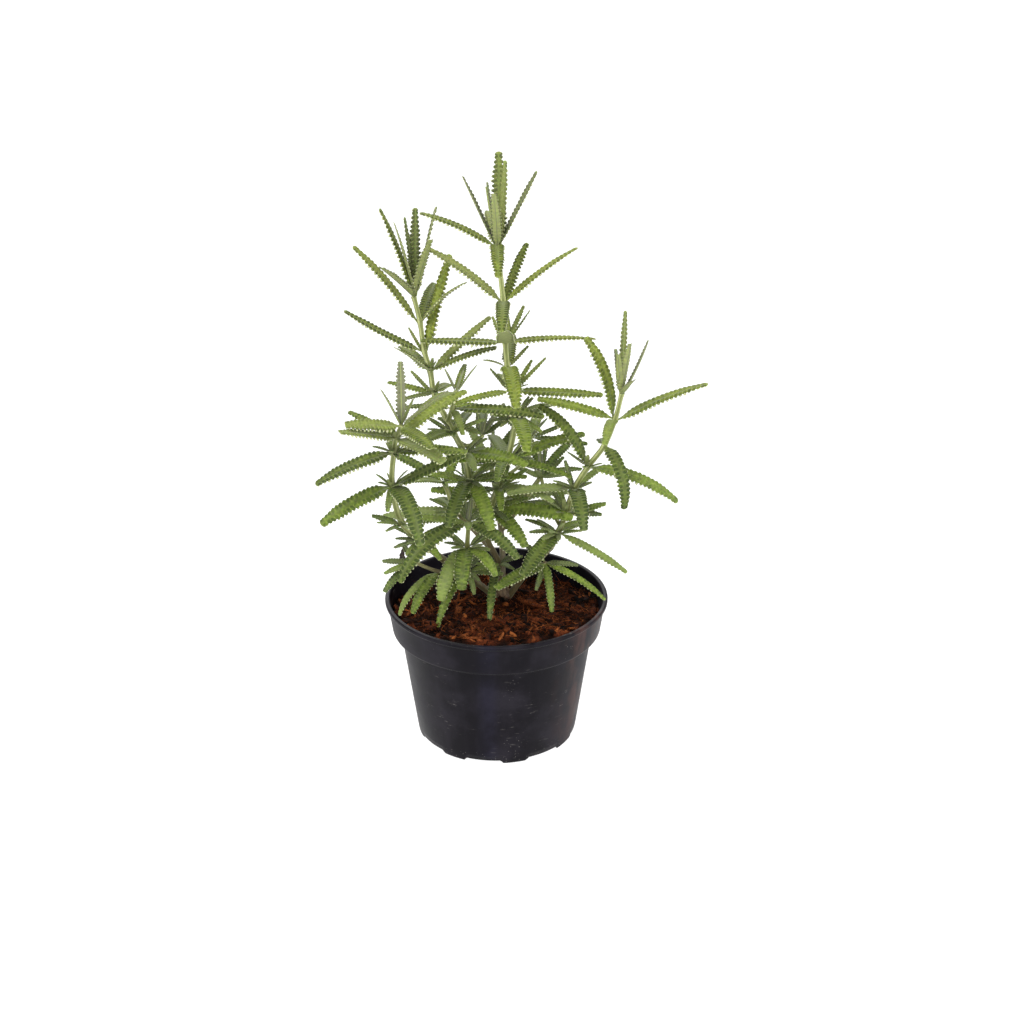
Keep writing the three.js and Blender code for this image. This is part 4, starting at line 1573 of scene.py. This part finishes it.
@dataclass
class Lavender:
    """The growing plant: its stems, each with the leaves of its joints."""

    leaf_finish: bpy.types.Material
    stem_finish: bpy.types.Material
    blade: LeafBlade = field(default_factory=LeafBlade)
    skin: StemSkin = field(default_factory=StemSkin)
    crown_spread: float = 3.2
    foot_height: float = 73.0
    axil: float = 1.3
    young_rise: float = 40.0
    leaf_seat: float = 0.7
    paths: dict[str, StemPath] = field(default_factory=dict)

    def foot(self, stem: Stem) -> Array:
        """Where a stem starts: in the crown on its own side, or in the axil over a joint.

        Args:
            stem: the stem.

        Returns:
            Its foot in millimetres.
        """
        if stem.bearer is None:
            out = np.array(stem.joints[0].place[:2]) - CROWN
            out = out * min(1.0, self.crown_spread / np.linalg.norm(out))
            return np.array([*(CROWN + out), self.foot_height])
        name, index = stem.bearer
        path = self.paths[name]
        return path.at(np.array([(index + self.axil) / (len(path.knots) - 1)]))[0]

    def grow(self, stem: Stem, seed: int) -> list[bpy.types.Object]:
        """Makes a stem and its leaves.

        Args:
            stem: the stem.
            seed: number for its irregularities.

        Returns:
            The pieces made for it.
        """
        rng = np.random.default_rng(seed)
        knots = np.array([self.foot(stem), *[one.place for one in stem.joints]], float)
        path = StemPath(knots)
        self.paths[stem.name] = path
        wood = self.skin.build(path, stem.radius, len(stem.joints), rng)
        wood_piece = wood.to_object(f"{stem.name}_bark", self.stem_finish)
        deliver(wood_piece, () if stem.sprig else (stem.name,))
        pieces = [wood_piece]
        collected: list[Shell] = []
        for index, one in enumerate(stem.joints):
            if not one.leaves:
                continue
            top = index == len(stem.joints) - 1
            shells = self.whorl(path, index, one, stem.radius, top, rng)
            if stem.sprig:
                collected += shells
                continue
            name = f"{stem.name}_foliage_{index + 1}"
            piece = Shell.join(shells).to_object(name, self.leaf_finish)
            deliver(piece, (f"{stem.name}_leaves_{index + 1}",))
            pieces.append(piece)
        if stem.sprig:
            piece = Shell.join(collected).to_object(f"{stem.name}_foliage", self.leaf_finish)
            deliver(piece, (stem.name,))
            pieces.append(piece)
        return pieces

    def whorl(
        self,
        path: StemPath,
        index: int,
        one: Joint,
        radius: float,
        top: bool,
        rng: np.random.Generator,
    ) -> list[Shell]:
        """Shapes the leaves of one joint, each from the side of the stem that it points to.

        Args:
            path: the stem's curve.
            index: which joint.
            one: the joint.
            radius: the stem's radius.
            top: whether it is the stem's last joint.
            rng: source of irregularities.

        Returns:
            The leaves' skins.
        """
        heading = path.heading((index + 1) / (len(path.knots) - 1))
        shells = []
        for each in one.leaves:
            turn, rise = math.radians(each.turn), math.radians(each.rise)
            level = math.cos(rise)
            out = np.array([level * math.cos(turn), level * math.sin(turn), math.sin(rise)])
            out -= heading * (out @ heading)
            out /= np.linalg.norm(out)
            young = top and each.rise > self.young_rise
            aged = replace(each, age=LeafAge.YOUNG) if young else each
            foot = np.array(one.place, float) + out * radius * self.leaf_seat
            shells.append(self.blade.build(aged, foot, rng))
        return shells


def deliver(piece: bpy.types.Object, nodes: tuple[str, ...]) -> None:
    """Fixes a piece to the object's one body, and hides the solids that it stands for.

    Args:
        piece: the piece.
        nodes: the solids that it stands for; none for a piece that only adds to others.
    """
    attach(piece, "root")
    if nodes:
        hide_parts(*nodes)


# ------------------------------------------------------------------ studio


@dataclass(frozen=True)
class Lamp:
    """A soft box: its place, width and height in metres, power in watts, and colour."""

    name: str
    place: tuple[float, float, float]
    size: tuple[float, float]
    power: float
    tint: Tint


LAMPS: tuple[Lamp, ...] = (
    Lamp("key", (-1.1, -1.3, 2.0), (1.1, 1.1), 72.0, (1.0, 0.985, 0.96)),
    Lamp("strip", (-0.12, -2.6, 1.25), (0.28, 1.7), 12.0, (0.93, 0.95, 1.0)),
    Lamp("fill", (1.9, -0.7, 1.1), (1.5, 1.5), 27.0, (0.98, 0.98, 1.0)),
    Lamp("front", (0.5, -2.4, 1.5), (1.6, 1.6), 34.0, (1.0, 0.99, 0.97)),
    Lamp("back", (-0.4, 2.4, 1.7), (1.6, 1.6), 34.0, (1.0, 1.0, 0.98)),
)


@dataclass(frozen=True)
class Studio:
    """White paper sweep, soft lights and the camera."""

    eye: tuple[float, float, float] = (0.0084, -0.850, 0.510)
    pitch: float = 24.16
    view: float = 32.38
    sky_fade: tuple[float, float, float, float] = (0.05, 0.3, 1.0, 0.55)
    aim: tuple[float, float, float] = (0.0, 0.0, 0.14)
    floor_line: tuple[tuple[float, float], ...] = ((7000.0, -8.3), (7000.0, -0.3), (1.0, -0.3))

    def camera(self) -> None:
        """Sets up the camera, level from side to side and tipped down by its pitch."""
        data = bpy.data.cameras.new("camera")
        data.sensor_fit = "HORIZONTAL"
        data.angle = math.radians(self.view)
        data.clip_start = 0.01
        holder = bpy.data.objects.new("camera", data)
        holder.location = self.eye
        holder.rotation_euler = (math.radians(90 - self.pitch), 0, 0)
        bpy.context.scene.collection.objects.link(holder)
        bpy.context.scene.camera = holder

    def hang(self, lamp: Lamp) -> None:
        """Hangs a soft box that faces the plant.

        Args:
            lamp: the soft box.
        """
        data = bpy.data.lights.new(lamp.name, "AREA")
        data.shape = "RECTANGLE"
        data.size, data.size_y = lamp.size
        data.energy = lamp.power
        data.color = lamp.tint
        holder = bpy.data.objects.new(lamp.name, data)
        holder.location = lamp.place
        aim = Vector(self.aim) - Vector(lamp.place)
        holder.rotation_euler = aim.to_track_quat("-Z", "Y").to_euler()
        bpy.context.scene.collection.objects.link(holder)

    def sky(self) -> None:
        """Sets a white sky, bright at the horizon and dimmer above."""
        world = bpy.data.worlds.new("sky")
        world.use_nodes = True
        nodes, links = world.node_tree.nodes, world.node_tree.links
        heading = nodes.new("ShaderNodeSeparateXYZ")
        links.new(nodes.new("ShaderNodeTexCoord").outputs["Generated"], heading.inputs[0])
        fade = nodes.new("ShaderNodeMapRange")
        links.new(heading.outputs["Z"], fade.inputs["Value"])
        for key, number in zip(("From Min", "From Max", "To Min", "To Max"), self.sky_fade):
            fade.inputs[key].default_value = number
        sky = nodes["Background"]
        sky.inputs["Color"].default_value = (1, 1, 1, 1)
        links.new(fade.outputs[0], sky.inputs["Strength"])
        bpy.context.scene.world = world

    def build(self, paper: bpy.types.Material) -> None:
        """Lays the floor, hangs the lamps, sets the sky and places the camera.

        Args:
            paper: the floor's finish.
        """
        disk = np.linspace(0, 2 * math.pi, 64, endpoint=False)
        rings = revolve(np.array(self.floor_line), disk)
        tube_shell(rings, {}).to_object("paper_floor", paper)
        for lamp in LAMPS:
            self.hang(lamp)
        self.sky()
        bpy.context.scene.view_settings.view_transform = "Standard"
        self.camera()


# ------------------------------------------------------------------ assembly


def corners(bounds: "tuple[Vector, Vector]") -> list[list[float]]:
    """Gives the two corners of a box as plain lists."""
    return [[float(number) for number in corner] for corner in bounds]


def main() -> None:
    """Builds the pot, the mix, the plant and the studio, and reports each piece."""
    logging.basicConfig(level=logging.INFO, format="%(message)s")
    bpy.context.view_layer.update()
    studio = Studio()
    studio.build(PaperFinish().make())

    pot = NurseryPot().build(PotFinish().make())
    deliver(pot, ("nursery_pot",))
    mix, coir = PottingMix(), MixFinish().make()
    bed = mix.bed(coir)
    deliver(bed, ("potting_mix",))
    loose = [mix.loose_chips(coir), mix.loose_strands(coir)]
    for piece in loose:
        deliver(piece, ())
    crown = RootCrown().build(BarkFinish().make())
    deliver(crown, ("root_crown",))

    pieces = [pot, bed, *loose, crown]
    plant = Lavender(LeafFinish().make(), StemFinish().make())
    for seed, stem in enumerate(STEMS):
        pieces += plant.grow(stem, 500 + seed)
    for piece in pieces:
        log.info("%s: %d faces", piece.name, len(piece.data.polygons))
    log.info("faces in all: %d", sum(len(piece.data.polygons) for piece in pieces))


if __name__ == "__main__":
    main()
